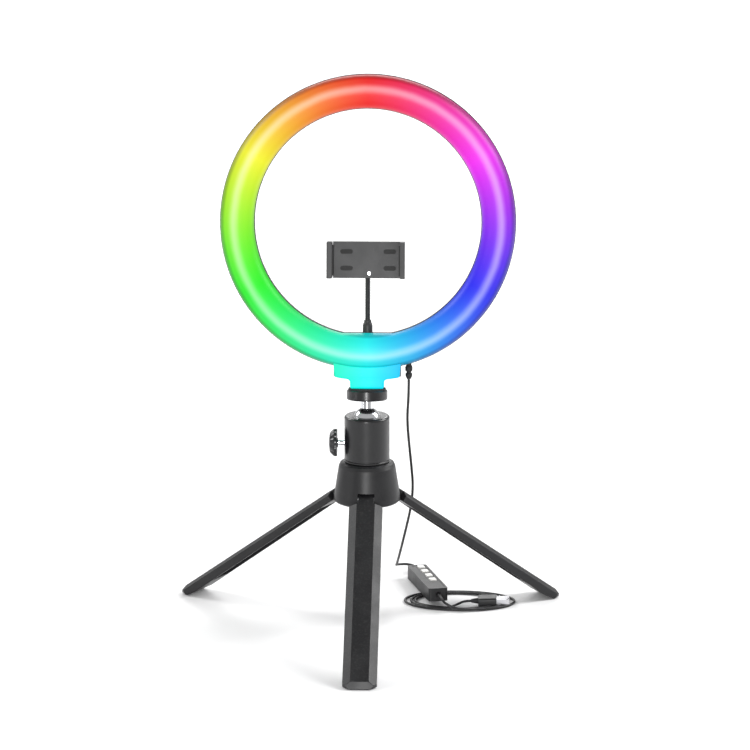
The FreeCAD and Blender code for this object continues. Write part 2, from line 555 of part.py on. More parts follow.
hubTall = "hubTop - hubBottom"
hubBlank = turned("HubBlank", [
    ("0", "0"), ("hubRadius - 1.5", "0"), ("hubRadius", "1.5"), ("hubRadius - 0.4", "6"),
    ("hubNeck", "%s - hubRound" % hubTall), ("hubNeck - 1.2", "%s - 1.4" % hubTall),
    ("hubNeck - hubRound", hubTall), ("0", hubTall)])
legAngles = {"front": -90.0, "right": 30.0, "left": 150.0}
slots = []
pinHoles = []
pins = []
for side, angle in legAngles.items():
    turn = Rotation(Vector(0, 0, 1), angle)
    slot = box("Slot_" + side, ("hubRadius", "tongueWidth + 2 * slotGap", "slotTop - hubBottom + 1"),
               ("slotInner", "-tongueWidth / 2 - slotGap", "-1"))
    slot.Placement = Placement(Vector(), turn).multiply(slot.Placement)
    slots.append(slot)
    pinHalf = "tongueWidth / 2 + pinGrip"
    pinPlace = Placement(Vector(), turn)
    pinPlace = pinPlace.multiply(at("pivotRadius", "-(%s)" % pinHalf, "pivotHeight", ALONG_Y))
    pins.append(cylinder("Pin_" + side, "pinRadius", "2 * (%s)" % pinHalf, pinPlace))
    holePlace = Placement(pinPlace.Base - Vector(0, 0, val("hubBottom")), pinPlace.Rotation)
    pinHoles.append(cylinder("PinHole_" + side, "pinRadius", "2 * (%s)" % pinHalf, holePlace))
hub = cut("TripodHub", hubBlank, fuse("LegSlots", *slots), fuse("PinHoles", *pinHoles),
          cylinder("HubStudWell", "stackStud", "stackSink + 1", at(z="%s - stackSink" % hubTall)),
          cylinder("CapWell", "capRadius", "capThick + 1.2", at(z="-1")))
node("tripod_hub", hub, at(z="hubBottom"))
node("leg_pins", group("LegPins", pins))
node("hub_cap", cylinder("HubCap", "capRadius", "capThick"), at(z="hubBottom + 0.2"))

# A leg's frame is on its pivot, X along the leg, Y across it, Z out of its upper face. A tongue
# turns on the pin inside the hub; the full width starts outside it and is cut back at the nose.
run = "(pivotHeight - padProud + sin(spreadAngle) * (%s)) / cos(spreadAngle)"
tipZ = "legTop - noseDrop"
backZ = "%s - footPadLong * cos(spreadAngle)" % tipZ
tipRun = run % tipZ
legOutline = [
    ("0", "legTop"), ("%s - noseLong" % tipRun, "legTop"), (tipRun, tipZ), (run % backZ, backZ),
    ("%s - noseEase" % (run % backZ), "-legUnderFoot + noseSole"),
    ("%s - noseBack" % (run % backZ), "-legUnderFoot"),
    ("0", "-legUnder")]
legSection = [
    ("-legWidth / 2", "-skirtDepth"), ("legWidth / 2", "-skirtDepth"), ("legWidth / 2", "legTop - legBevel"),
    ("legFlat / 2", "legTop"), ("-legFlat / 2", "legTop"), ("-legWidth / 2", "legTop - legBevel")]
shoulder = "hubRadius - pivotRadius + shoulderGap"
legEdge = [
    ("-knuckleRadius", "tongueWidth / 2"), (shoulder, "tongueWidth / 2"),
    ("%s + shoulderSlope" % shoulder, "legWidth / 2"), ("%s - noseLong" % tipRun, "legWidth / 2"),
    ("%s + 0.5" % tipRun, "legWidth / 2 - noseSide")]
tipReach = "pivotRadius + sin(spreadAngle) * (%s) + cos(spreadAngle) * (%s)" % (tipRun, tipZ)
legPlan = legEdge + [(x, "-(%s)" % y) for x, y in reversed(legEdge)]
for side, angle in legAngles.items():
    profile = padded("LegSide_" + side, "XZ_Plane", legOutline, "legWidth")
    section = padded("LegSection_" + side, "YZ_Plane", legSection, "3 * (%s)" % tipRun)
    plan = padded("LegPlan_" + side, "XY_Plane", legPlan, "4 * skirtDepth")
    knuckle = cylinder("Knuckle_" + side, "knuckleRadius", "tongueWidth",
                       at(y="-tongueWidth / 2", turn=ALONG_Y))
    shaped = common("LegShaped_" + side, common("LegBar_" + side, profile, section), plan)
    hollow = box("LegHollow_" + side,
                 ("%s - hollowStop - hollowStart" % tipRun, "legWidth - 2 * legWall",
                  "skirtDepth + legTop - legWall"),
                 ("hollowStart", "-legWidth / 2 + legWall", "-skirtDepth"))
    bore = cylinder("LegBore_" + side, "pinRadius + runFit", "legWidth + 2",
                    at(y="-legWidth / 2 - 1", turn=ALONG_Y))
    radial = Rotation(Vector(0, 0, 1), angle)
    legTurn = radial.multiply(Rotation(Vector(0, 1, 0), 90 - val("spreadAngle")))
    pivot = radial.multVec(Vector(val("pivotRadius"), 0, 0)) + Vector(0, 0, val("pivotHeight"))
    padPlace = Placement(Vector(), radial)
    padPlace = padPlace.multiply(at("%s - footPadLong" % tipReach, "-footPadWide / 2", "0"))
    padSizes = {"Length": "footPadLong - 1", "Width": "footPadWide", "Height": "footPadThick"}
    footPad = set_sizes(doc.addObject("Part::Box", "FootPad_" + side), padSizes, padPlace)
    inLeg = Placement(pivot, legTurn).inverse().multiply(padPlace)
    padSeat = set_sizes(doc.addObject("Part::Box", "PadSeat_" + side), padSizes, inLeg)
    leg = cut("Leg_" + side, fuse("LegBlank_" + side, shaped, knuckle), hollow, bore, padSeat)
    node("leg_" + side, leg, Placement(pivot, legTurn))
    node("foot_pad_" + side, footPad)

# ---- remote ----------------------------------------------------------------

# The remote's far end is on the floor and its near end leans on the coil of the lead.
# Its frame is at the middle of its underside, Y along it towards the far end.
remoteTurn = Rotation(Vector(0, 0, 1), val("remoteTurn"))
remoteTurn = remoteTurn.multiply(Rotation(Vector(1, 0, 0), -val("remoteLean")))
halfLong = "remoteLong / 2"
remoteFrame = at("remoteX", "remoteY", "0", remoteTurn).multiply(at(y="-(%s)" % halfLong))


def remote_block(name, low, tall, inset):
    wide, long = "remoteWide - 2 * (%s)" % inset, "remoteLong - 2 * (%s)" % inset
    return middle_box(name, (wide, long, tall), ("0", "0", low))


def edges_of(feature, chosen):
    return [i + 1 for i, edge in enumerate(feature.Shape.Edges) if chosen(edge)]


def rounded(name, base, radius, chosen):
    doc.recompute()
    piece = doc.addObject("Part::Fillet", name)
    piece.Base = base
    piece.Edges = [(number, val(radius), val(radius)) for number in edges_of(base, chosen)]
    return piece


def upright(edge):
    low, high = edge.Vertexes[0].Point, edge.Vertexes[-1].Point
    return abs(abs(high.z - low.z) - edge.Length) < 1e-6


lowerBlock = rounded("LowerRound", remote_block("LowerBlock", "0", "remoteSplit", "0"),
                     "remoteRound", upright)
baseCavity = remote_block("BaseCavity", "remoteWall", "remoteSplit", "remoteWall")
node("remote_base", cut("RemoteBase", lowerBlock, baseCavity), remoteFrame)
upperBlock = rounded("UpperRound", remote_block("UpperBlock", "remoteSplit", "remoteTall - remoteSplit", "0"),
                     "remoteRound", upright)
lidCavity = remote_block("LidCavity", "remoteSplit - 1", "remoteTall - remoteSplit - remoteWall + 1",
                         "remoteWall")
buttonSpots = [("buttonShift", "buttonFirst - %d * buttonPitch" % index) for index in range(4)]
windows = [middle_box("Window%d" % i,
                      ("buttonWide + 2 * buttonFit", "buttonLong + 2 * buttonFit", "3 * remoteWall"),
                      (x, y, "remoteTall - 2 * remoteWall")) for i, (x, y) in enumerate(buttonSpots)]
panel = middle_box("PanelSink", ("remoteWide - 2 * panelSide", "remoteLong - 2 * panelEnd", "2 * panelSunk"),
                   ("panelShift", "0", "remoteTall - panelSunk"))
node("remote_lid", cut("RemoteLid", upperBlock, lidCavity, fuse("Windows", *windows), panel), remoteFrame)
boardTop = "remoteSplit - remoteBoardDrop"
remoteBoard = remote_block("RemoteBoard", "%s - remoteBoardThick" % boardTop, "remoteBoardThick",
                           "remoteWall + remoteBoardFit")
node("remote_board", remoteBoard, remoteFrame)
buttonFoot = "remoteTall - remoteWall - 2 * buttonSunk"
switchTall = "%s - (%s) - switchTravel" % (buttonFoot, boardTop)
switches = [middle_box("Switch%d" % i, ("switchWide", "switchWide", switchTall), (x, y, boardTop))
            for i, (x, y) in enumerate(buttonSpots)]
node("remote_switches", group("RemoteSwitches", switches), remoteFrame)
for index, (x, y) in enumerate(buttonSpots):
    stem = middle_box("ButtonStem%d" % index,
                      ("buttonWide", "buttonLong", "remoteWall + buttonProud + buttonSunk"),
                      (x, y, "remoteTall - remoteWall - buttonSunk"))
    crown = rounded("ButtonCrown%d" % index, stem, "buttonRound", upright)
    flange = middle_box("ButtonFlange%d" % index,
                        ("buttonWide + 2 * flangeOut", "buttonLong + 2 * flangeOut", "flangeThick"),
                        (x, y, buttonFoot))
    node("button_%d" % (index + 1), fuse("Button%d" % index, crown, flange), remoteFrame)
reliefOutline = [("0", "0"), ("reliefRadius", "0"), ("reliefRadius - reliefEase", "reliefStep"),
                 ("leadRadius + reliefWall", "reliefLong"), ("0", "reliefLong")]
node("remote_relief_in", turned("ReliefIn", reliefOutline),
     remoteFrame.multiply(at("0", halfLong, "reliefHeight", ALONG_Y)))
node("remote_relief_out", turned("ReliefOut", reliefOutline),
     remoteFrame.multiply(at("0", "-(%s)" % halfLong, "reliefHeight", DOWN_Y)))

# ---- plug ------------------------------------------------------------------

# The plug lies flat with its contacts, along X, just over the coil.
plugFrame = at("plugX", "plugY", "plugHeight", Rotation(Vector(0, 1, 0), -val("plugLean")))
plugBlock = box("PlugBlock", ("plugLong", "plugWide", "plugThick"),
                ("0", "-plugWide / 2", "-plugThick / 2"))
plugBody = rounded("PlugBody", plugBlock, "plugRound",
                   lambda edge: abs(abs(edge.Vertexes[0].X - edge.Vertexes[-1].X) - val("plugLong")) < 1e-6)
node("plug_body", plugBody, plugFrame)
plugShell = cut("PlugShell",
                box("ShellBlock", ("plugShellLong", "plugShellWide", "plugShellThick"),
                    ("plugLong", "-plugShellWide / 2", "-plugShellThick / 2")),
                box("ShellInside",
                    ("plugShellLong", "plugShellWide - 2 * plugShellWall",
                     "plugShellThick - 2 * plugShellWall"),
                    ("plugLong + plugInset", "-plugShellWide / 2 + plugShellWall",
                     "-plugShellThick / 2 + plugShellWall")))
node("plug_shell", plugShell, plugFrame)
plugTongue = box("PlugTongue",
                 ("plugShellLong - plugTongueShort", "plugShellWide - 4 * plugShellWall", "plugTongueThick"),
                 ("plugLong + plugInset", "-plugShellWide / 2 + 2 * plugShellWall",
                  "-plugShellThick / 2 + plugShellWall"))
node("plug_tongue", plugTongue, plugFrame)
plugRelief = turned("PlugRelief", [
    ("0", "0"), ("plugReliefRadius", "0"), ("plugReliefRadius - plugReliefEase", "plugReliefStep"),
    ("leadRadius + reliefWall", "plugRelief"), ("0", "plugRelief")])
node("plug_relief", plugRelief, plugFrame.multiply(at(turn=outX)))

# ---- lead ------------------------------------------------------------------

def lead_tube(name, points):
    """Tube of straight runs joined by arcs, each arc 0.45 of its shorter run from its corner."""
    points = [Vector(*point) for point in points]
    edges = []
    start = points[0]
    radii = []
    for before, corner, after in zip(points, points[1:], points[2:]):
        back = before - corner
        ahead = after - corner
        reach = 0.45 * min(back.Length, ahead.Length)
        back.normalize()
        ahead.normalize()
        turn = math.pi - back.getAngle(ahead)
        radii.append(reach / math.tan(turn / 2))
        enter = corner + back * reach
        leave = corner + ahead * reach
        bisector = (back + ahead).normalize()
        bulge = corner + bisector * (math.hypot(radii[-1], reach) - radii[-1])
        edges.append(Part.LineSegment(start, enter).toShape())
        edges.append(Part.Arc(enter, bulge, leave).toShape())
        start = leave
    edges.append(Part.LineSegment(start, points[-1]).toShape())
    path = Part.Wire(edges)
    circle = Part.Circle(points[0], points[1] - points[0], val("leadRadius"))
    solid = path.makePipeShell([Part.Wire([circle.toShape()])], True, True, 1)
    section = math.pi * val("leadRadius") ** 2
    print(name, "length %.1f" % path.Length, "volume ratio %.4f" % (solid.Volume / (section * path.Length)))
    print("  radii", " ".join("%.1f" % radius for radius in radii))
    piece = doc.addObject("Part::Feature", name)
    piece.Shape = solid
    return piece


glandLow = -val("%s + glandLong + glandSunk" % glandTop)
glandEnd = ringFrame.multVec(Vector(val("glandX"), glandLow, -val("armDepth")))
reliefInEnd = remoteFrame.multVec(Vector(0, val(halfLong) + val("reliefLong"), val("reliefHeight")))
reliefOutEnd = remoteFrame.multVec(Vector(0, -val(halfLong) - val("reliefLong"), val("reliefHeight")))
plugReliefEnd = plugFrame.multVec(Vector(-val("plugRelief"), 0, 0))


def straight(end, rotation, direction, reach):
    """Point reached by leaving end straight along a frame's direction."""
    return end + rotation.multVec(Vector(*direction)) * reach


headTurn = headFrame.Rotation
remoteSpin = remoteFrame.Rotation
hangRoute = [
    straight(glandEnd, headTurn, (0, 0, -1), 0.3), straight(glandEnd, headTurn, (0, 0, -1), 15),
    (35.0, 11.5, 187), (36.2, 20.5, 164), (38.3, 31, 139), (39.8, 44, 114), (37.0, 59, 89),
    (32.0, 76, 64), (27.4, 97, 41), (24.2, 121, 24), (22.4, 140, 14), (21.6, 152.4, 9.4),
    (21.5, 162.4, 6.8), (26.5, 168.0, 5.8), (33.6, 168.0, 5.6), (38.5, 162.6, 5.6),
    straight(reliefInEnd, remoteSpin, (0, 1, 0), 5.4), reliefInEnd]
node("lead_hanging", lead_tube("LeadHanging", hangRoute))
feedRoute = [reliefOutEnd, straight(reliefOutEnd, remoteSpin, (0, -1, 0), 5.6),
             (67.4, 38.6, 8.6), (72.8, 36.8, 5.6), (78.2, 37.6, 3.6)]
node("lead_feed", lead_tube("LeadFeed", feedRoute))
tailRoute = [(70.6, 45.0, 1.2), (75.2, 50.2, 1.2), (80.2, 56.0, 1.8),
             straight(plugReliefEnd, plugFrame.Rotation, (-1, 0, 0), 6.4), plugReliefEnd]
node("lead_tail", lead_tube("LeadTail", tailRoute))


def oval(name, half_x, half_y, tall):
    """Upright oval prism on the floor around the coil's middle."""
    curve = Part.Ellipse(Vector(), val(half_x), val(half_y))
    solid = Part.Face(Part.Wire([curve.toShape()])).extrude(Vector(0, 0, val(tall)))
    piece = doc.addObject("Part::Feature", name)
    piece.Shape = solid
    piece.Placement = at("coilX", "coilY", "0")
    return piece


coilOuter = oval("CoilOuter", "coilHalfX", "coilHalfY", "coilTall")
coilInner = oval("CoilInner", "coilHalfX - coilBand", "coilHalfY - coilBand", "coilTall")
node("lead_coil", cut("LeadCoil", coilOuter, coilInner))

# ---- checks and files ------------------------------------------------------

doc.recompute()
broken = [thing.Label for thing in doc.Objects if {"Invalid", "Error"} & set(thing.State)]
for piece in nodes:
    shape = piece.Shape
    if shape.isNull() or not shape.isValid() or not shape.Solids or shape.Volume <= 0:
        broken.append(piece.Label)
if broken:
    raise RuntimeError("failed objects: %s" % ", ".join(broken))
for piece in nodes:
    piece.Shape.exportStep("parts/%s.step" % piece.Label)
print(len(nodes), "nodes written")
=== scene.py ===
import bmesh
import bpy
import json
import math
import numpy as np
from mathutils import Matrix, Vector


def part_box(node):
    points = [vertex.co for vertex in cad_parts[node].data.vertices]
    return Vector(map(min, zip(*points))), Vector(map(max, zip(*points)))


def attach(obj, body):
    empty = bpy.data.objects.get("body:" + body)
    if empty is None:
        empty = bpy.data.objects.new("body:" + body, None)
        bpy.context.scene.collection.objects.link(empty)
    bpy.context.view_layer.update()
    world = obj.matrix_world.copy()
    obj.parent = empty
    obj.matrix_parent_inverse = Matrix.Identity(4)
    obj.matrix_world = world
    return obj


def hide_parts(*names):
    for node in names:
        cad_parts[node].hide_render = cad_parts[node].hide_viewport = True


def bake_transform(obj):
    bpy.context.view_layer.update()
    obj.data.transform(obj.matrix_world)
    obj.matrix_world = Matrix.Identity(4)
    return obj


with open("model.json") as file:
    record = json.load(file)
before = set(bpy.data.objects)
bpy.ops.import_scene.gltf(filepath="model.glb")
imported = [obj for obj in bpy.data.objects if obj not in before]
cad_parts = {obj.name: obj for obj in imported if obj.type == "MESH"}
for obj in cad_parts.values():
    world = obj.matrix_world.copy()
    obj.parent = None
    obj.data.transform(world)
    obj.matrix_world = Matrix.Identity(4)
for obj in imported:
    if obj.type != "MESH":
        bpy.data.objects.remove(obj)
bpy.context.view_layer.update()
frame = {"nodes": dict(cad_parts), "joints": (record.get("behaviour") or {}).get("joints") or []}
print("stage: frame loaded,", len(frame["nodes"]), "nodes")

joints = {joint["name"]: joint for joint in frame["joints"]}


# Places and frames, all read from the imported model

def jointPoint(name):
    return np.array(joints[name]["pos_m"], float)


def jointAxis(name):
    axis = np.array(joints[name]["axis"], float)
    return axis / np.linalg.norm(axis)


def nodePoints(name):
    mesh = frame["nodes"][name].data
    flat = np.empty(len(mesh.vertices) * 3, np.float32)
    mesh.vertices.foreach_get("co", flat)
    return flat.reshape(-1, 3).astype(float)


def makePlace(origin, zAxis, xHint):
    # a place is an origin and three square axes; local point p lands on origin + p @ axes
    zAxis = np.array(zAxis, float) / np.linalg.norm(zAxis)
    yAxis = np.cross(zAxis, np.array(xHint, float))
    yAxis /= np.linalg.norm(yAxis)
    return np.array(origin, float), np.array([np.cross(yAxis, zAxis), yAxis, zAxis])


def outOf(place, local):
    return place[0] + local @ place[1]


def into(place, points):
    return (points - place[0]) @ place[1].T


rightward = np.array([1.0, 0.0, 0.0])
stemAxis = jointAxis("ring_swivel")
litAxis = np.cross(rightward, stemAxis)          # out of the lit face

# the ring's centre lies one radius below the top of its shell, in the plane where the shells meet
shellLocal = into(makePlace((0, 0, 0), litAxis, rightward), nodePoints("back_shell"))
shellRadius = np.abs(shellLocal[:, 0]).max()
ringCentre = (shellLocal[:, 1].max() - shellRadius) * stemAxis + shellLocal[:, 2].max() * litAxis
ringPlace = makePlace(ringCentre, litAxis, rightward)


# Mesh building

def gridQuads(rows, columns, closeRows=False, closeColumns=False):
    # each quad joins a grid point to the next row and the next column
    row = np.arange(rows if closeRows else rows - 1)[:, None]
    column = np.arange(columns if closeColumns else columns - 1)[None, :]
    nextRow, nextColumn = (row + 1) % rows, (column + 1) % columns
    corners = [row * columns + column, row * columns + nextColumn,
               nextRow * columns + nextColumn, nextRow * columns + column]
    return np.stack([np.broadcast_to(c, (row.size, column.size)) for c in corners], -1).reshape(-1, 4)


def makePiece(name, points, faces, material, slotName, sharpAngle=42):
    mesh = bpy.data.meshes.new(name)
    mesh.from_pydata(points.reshape(-1, 3).tolist(), [], faces)
    work = bmesh.new()
    work.from_mesh(mesh)
    bmesh.ops.remove_doubles(work, verts=work.verts, dist=2e-6)
    bmesh.ops.dissolve_degenerate(work, edges=work.edges, dist=1e-6)
    bmesh.ops.recalc_face_normals(work, faces=work.faces)
    work.to_mesh(mesh)
    work.free()
    mesh.shade_smooth()
    mesh.set_sharp_from_angle(angle=math.radians(sharpAngle))
    mesh.materials.append(material)
    piece = bpy.data.objects.new(name, mesh)
    bpy.context.collection.objects.link(piece)
    return piece


def roundLine(corners, closed=False, steps=5):
    # a line through corners (a, b, radius): each corner becomes an arc that touches both its sides
    points = np.array([c[:2] for c in corners], float)
    bends = []
    for index, corner in enumerate(corners):
        ends = not closed and index in (0, len(corners) - 1)
        if ends or corner[2] <= 0:
            bends.append(points[index:index + 1])
            continue
        before = points[index - 1] - points[index]
        after = points[(index + 1) % len(corners)] - points[index]
        before, after = before / np.linalg.norm(before), after / np.linalg.norm(after)
        half = math.acos(np.clip(before @ after, -1, 1)) / 2
        middle = (before + after) / np.linalg.norm(before + after)
        centre = points[index] + middle * corner[2] / math.sin(half)
        first = points[index] + before * corner[2] / math.tan(half) - centre
        last = points[index] + after * corner[2] / math.tan(half) - centre
        share = np.linspace(0, 1, steps + 1)[:, None]
        arc = first * (1 - share) + last * share
        bends.append(centre + arc / np.linalg.norm(arc, axis=1, keepdims=True) * corner[2])
    return np.concatenate(bends)


def lathe(profile, place, turns=72, swell=None):
    # radius from the profile times (cos a, sin a), height from the profile; swell scales the radius
    angle = np.linspace(0, 2 * np.pi, turns, endpoint=False)[None, :]
    radius, height = profile[:, :1], profile[:, 1:2]
    if swell is not None:
        radius = radius * swell(radius, height, angle)
    local = np.stack([radius * np.cos(angle), radius * np.sin(angle), height + 0 * angle], -1)
    return outOf(place, local), gridQuads(len(profile), turns, closeColumns=True).tolist()


def softPrism(outline, layers, place):
    # the closed outline is drawn in along its own normals by each layer's inset, at that layer's height
    along = np.roll(outline, -1, 0) - np.roll(outline, 1, 0)
    along /= np.linalg.norm(along, axis=1, keepdims=True)
    inward = np.stack([-along[:, 1], along[:, 0]], 1)          # for an anticlockwise outline
    inset, height = layers[:, 0][:, None, None], layers[:, 1][:, None, None]
    flat = outline[None] + inset * inward[None]
    local = np.concatenate([flat, np.broadcast_to(height, flat.shape[:2] + (1,))], -1)
    rows, columns = flat.shape[:2]
    faces = gridQuads(rows, columns, closeColumns=True).tolist()
    faces += [list(range(columns)), list(range((rows - 1) * columns, rows * columns))]
    return outOf(place, local), faces


def tube(path, radius, turns=16, swell=None):
    # a circle of the radius square to the path; its side direction leans on X where the path climbs
    tangent = np.gradient(path, axis=0)
    tangent /= np.linalg.norm(tangent, axis=1, keepdims=True)
    climb = np.abs(tangent[:, 2:])
    lean = climb * np.array([1.0, 0, 0]) + (1 - climb) * np.array([0, 0, 1.0])
    side = np.cross(tangent, lean)
    side /= np.linalg.norm(side, axis=1, keepdims=True)
    other = np.cross(side, tangent)
    angle = np.linspace(0, 2 * np.pi, turns, endpoint=False)[None, :, None]
    travel = np.concatenate([[0], np.cumsum(np.linalg.norm(np.diff(path, axis=0), axis=1))])
    reach = radius if swell is None else radius * swell(travel[:, None, None], angle)
    skin = path[:, None] + reach * (np.cos(angle) * side[:, None] + np.sin(angle) * other[:, None])
    caps = [np.repeat(path[:1, None], turns, 1), np.repeat(path[-1:, None], turns, 1)]
    points = np.concatenate([caps[0], skin, caps[1]])
    return points, gridQuads(len(points), turns, closeColumns=True).tolist()


# Shader groups shared by the finishes

def addNode(tree, kind, values=None, **settings):
    node = tree.nodes.new("ShaderNode" + kind)
    for key, setting in settings.items():
        setattr(node, key, setting)
    for key, value in (values or {}).items():
        if isinstance(value, bpy.types.NodeSocket):
            tree.links.new(value, node.inputs[key])
        else:
            node.inputs[key].default_value = value
    return node


def newGroup(name, inputs, outputs):
    group = bpy.data.node_groups.new(name, "ShaderNodeTree")
    for direction, sockets in (("INPUT", inputs), ("OUTPUT", outputs)):
        for label, kind in sockets.items():
            group.interface.new_socket(label, in_out=direction, socket_type="NodeSocket" + kind)
    return group, group.nodes.new("NodeGroupInput"), group.nodes.new("NodeGroupOutput")


def makeMouldGrain():
    # fine spark-eroded grain: two sizes of noise added, as a height
    group, given, result = newGroup("mouldGrain", {"Scale": "Float", "Coarse": "Float"},
                                    {"Height": "Float"})
    place = addNode(group, "TexCoord").outputs["Object"]
    fine = addNode(group, "TexNoise", {"Vector": place, "Scale": given.outputs["Scale"],
                                       "Detail": 3.0, "Roughness": 0.6})
    wide = addNode(group, "TexNoise", {"Vector": place, "Scale": given.outputs["Coarse"],
                                       "Detail": 2.0})
    mixed = addNode(group, "Math", {0: fine.outputs["Fac"], 1: wide.outputs["Fac"]}, operation="ADD")
    half = addNode(group, "Math", {0: mixed.outputs[0], 1: 0.5}, operation="MULTIPLY")
    group.links.new(half.outputs[0], result.inputs["Height"])
    return group


wearSizes = dict(patchScale=38.0, patchLow=0.38, patchHigh=0.66, facing=0.35, speckScale=620.0,
                 speckLow=0.5, speckHigh=0.72, dustColour=(0.42, 0.41, 0.4, 1.0))


def makeHandling():
    # patches where hands have polished or dulled the skin, and pale dust that settles on upward faces
    group, given, result = newGroup(
        "handling",
        {"Colour": "Color", "Worn": "Color", "Dust": "Float", "Rough": "Float", "Spread": "Float"},
        {"Colour": "Color", "Rough": "Float"})
    place = addNode(group, "TexCoord").outputs["Object"]
    patches = addNode(group, "TexNoise", {"Vector": place, "Scale": wearSizes["patchScale"],
                                          "Detail": 5.0, "Roughness": 0.62, "Distortion": 0.4})
    spots = addNode(group, "MapRange", {"Value": patches.outputs["Fac"], 1: wearSizes["patchLow"],
                                        2: wearSizes["patchHigh"]})
    worn = addNode(group, "Mix", {"Factor": spots.outputs[0], 6: given.outputs["Colour"],
                                  7: given.outputs["Worn"]}, data_type="RGBA")
    normal = addNode(group, "NewGeometry")
    parts = addNode(group, "SeparateXYZ", {0: normal.outputs["Normal"]})
    upward = addNode(group, "MapRange", {"Value": parts.outputs["Z"], 1: wearSizes["facing"], 2: 1.0})
    specks = addNode(group, "TexNoise", {"Vector": place, "Scale": wearSizes["speckScale"],
                                         "Detail": 4.0})
    settled = addNode(group, "MapRange", {"Value": specks.outputs["Fac"], 1: wearSizes["speckLow"],
                                          2: wearSizes["speckHigh"]})
    lying = addNode(group, "Math", {0: upward.outputs[0], 1: settled.outputs[0]},
                    operation="MULTIPLY")
    dust = addNode(group, "Math", {0: lying.outputs[0], 1: given.outputs["Dust"]},
                   operation="MULTIPLY")
    dusty = addNode(group, "Mix", {"Factor": dust.outputs[0], 6: worn.outputs[2],
                                   7: wearSizes["dustColour"]}, data_type="RGBA")
    swing = addNode(group, "Math", {0: spots.outputs[0], 1: given.outputs["Spread"],
                                    2: given.outputs["Rough"]}, operation="MULTIPLY_ADD")
    group.links.new(dusty.outputs[2], result.inputs["Colour"])
    group.links.new(swing.outputs[0], result.inputs["Rough"])
    return group


def ringCoordinates(tree):
    # object coordinates moved to the ring's centre, Z out of its lit face
    turn = Matrix([list(axis) for axis in ringPlace[1]]).transposed().to_euler()
    place = addNode(tree, "TexCoord").outputs["Object"]
    local = addNode(tree, "Mapping", {"Vector": place, "Location": tuple(ringPlace[0]),
                                      "Rotation": tuple(turn)}, vector_type="TEXTURE")
    return place, local.outputs[0]


def makeLampColour():
    # the hue runs once round the ring, clockwise from red at the top
    group, given, result = newGroup("lampColour", {"Saturation": "Float", "Brightness": "Float"},
                                    {"Colour": "Color"})
    local = ringCoordinates(group)[1]
    parts = addNode(group, "SeparateXYZ", {0: local})
    angle = addNode(group, "Math", {0: parts.outputs["X"], 1: parts.outputs["Y"]},
                    operation="ARCTAN2")
    hue = addNode(group, "Math", {0: angle.outputs[0], 1: -0.5 / math.pi, 2: 1.0},
                  operation="MULTIPLY_ADD")
    hueTurn = addNode(group, "Math", {0: hue.outputs[0], 1: 1.0}, operation="FLOORED_MODULO")
    colour = addNode(group, "CombineColor", {0: hueTurn.outputs[0], 1: given.outputs["Saturation"],
                                             2: given.outputs["Brightness"]}, mode="HSV")
    light = addNode(group, "Gamma", {0: colour.outputs[0], 1: 2.2})
    group.links.new(light.outputs[0], result.inputs["Colour"])
    return group


def makeTurnedRings():
    # tool marks left by turning, as rings about a stretched axis
    group, given, result = newGroup("turnedRings", {"Scale": "Float"}, {"Height": "Float"})
    place = addNode(group, "TexCoord").outputs["Object"]
    squeezed = addNode(group, "Mapping", {"Vector": place, "Scale": (0.04, 0.04, 1.0)})
    rings = addNode(group, "TexNoise", {"Vector": squeezed.outputs[0], "Scale": given.outputs["Scale"],
                                        "Detail": 4.0, "Roughness": 0.7})
    group.links.new(rings.outputs["Fac"], result.inputs["Height"])
    return group


mouldGrain = makeMouldGrain()
handling = makeHandling()
lampColour = makeLampColour()
turnedRings = makeTurnedRings()

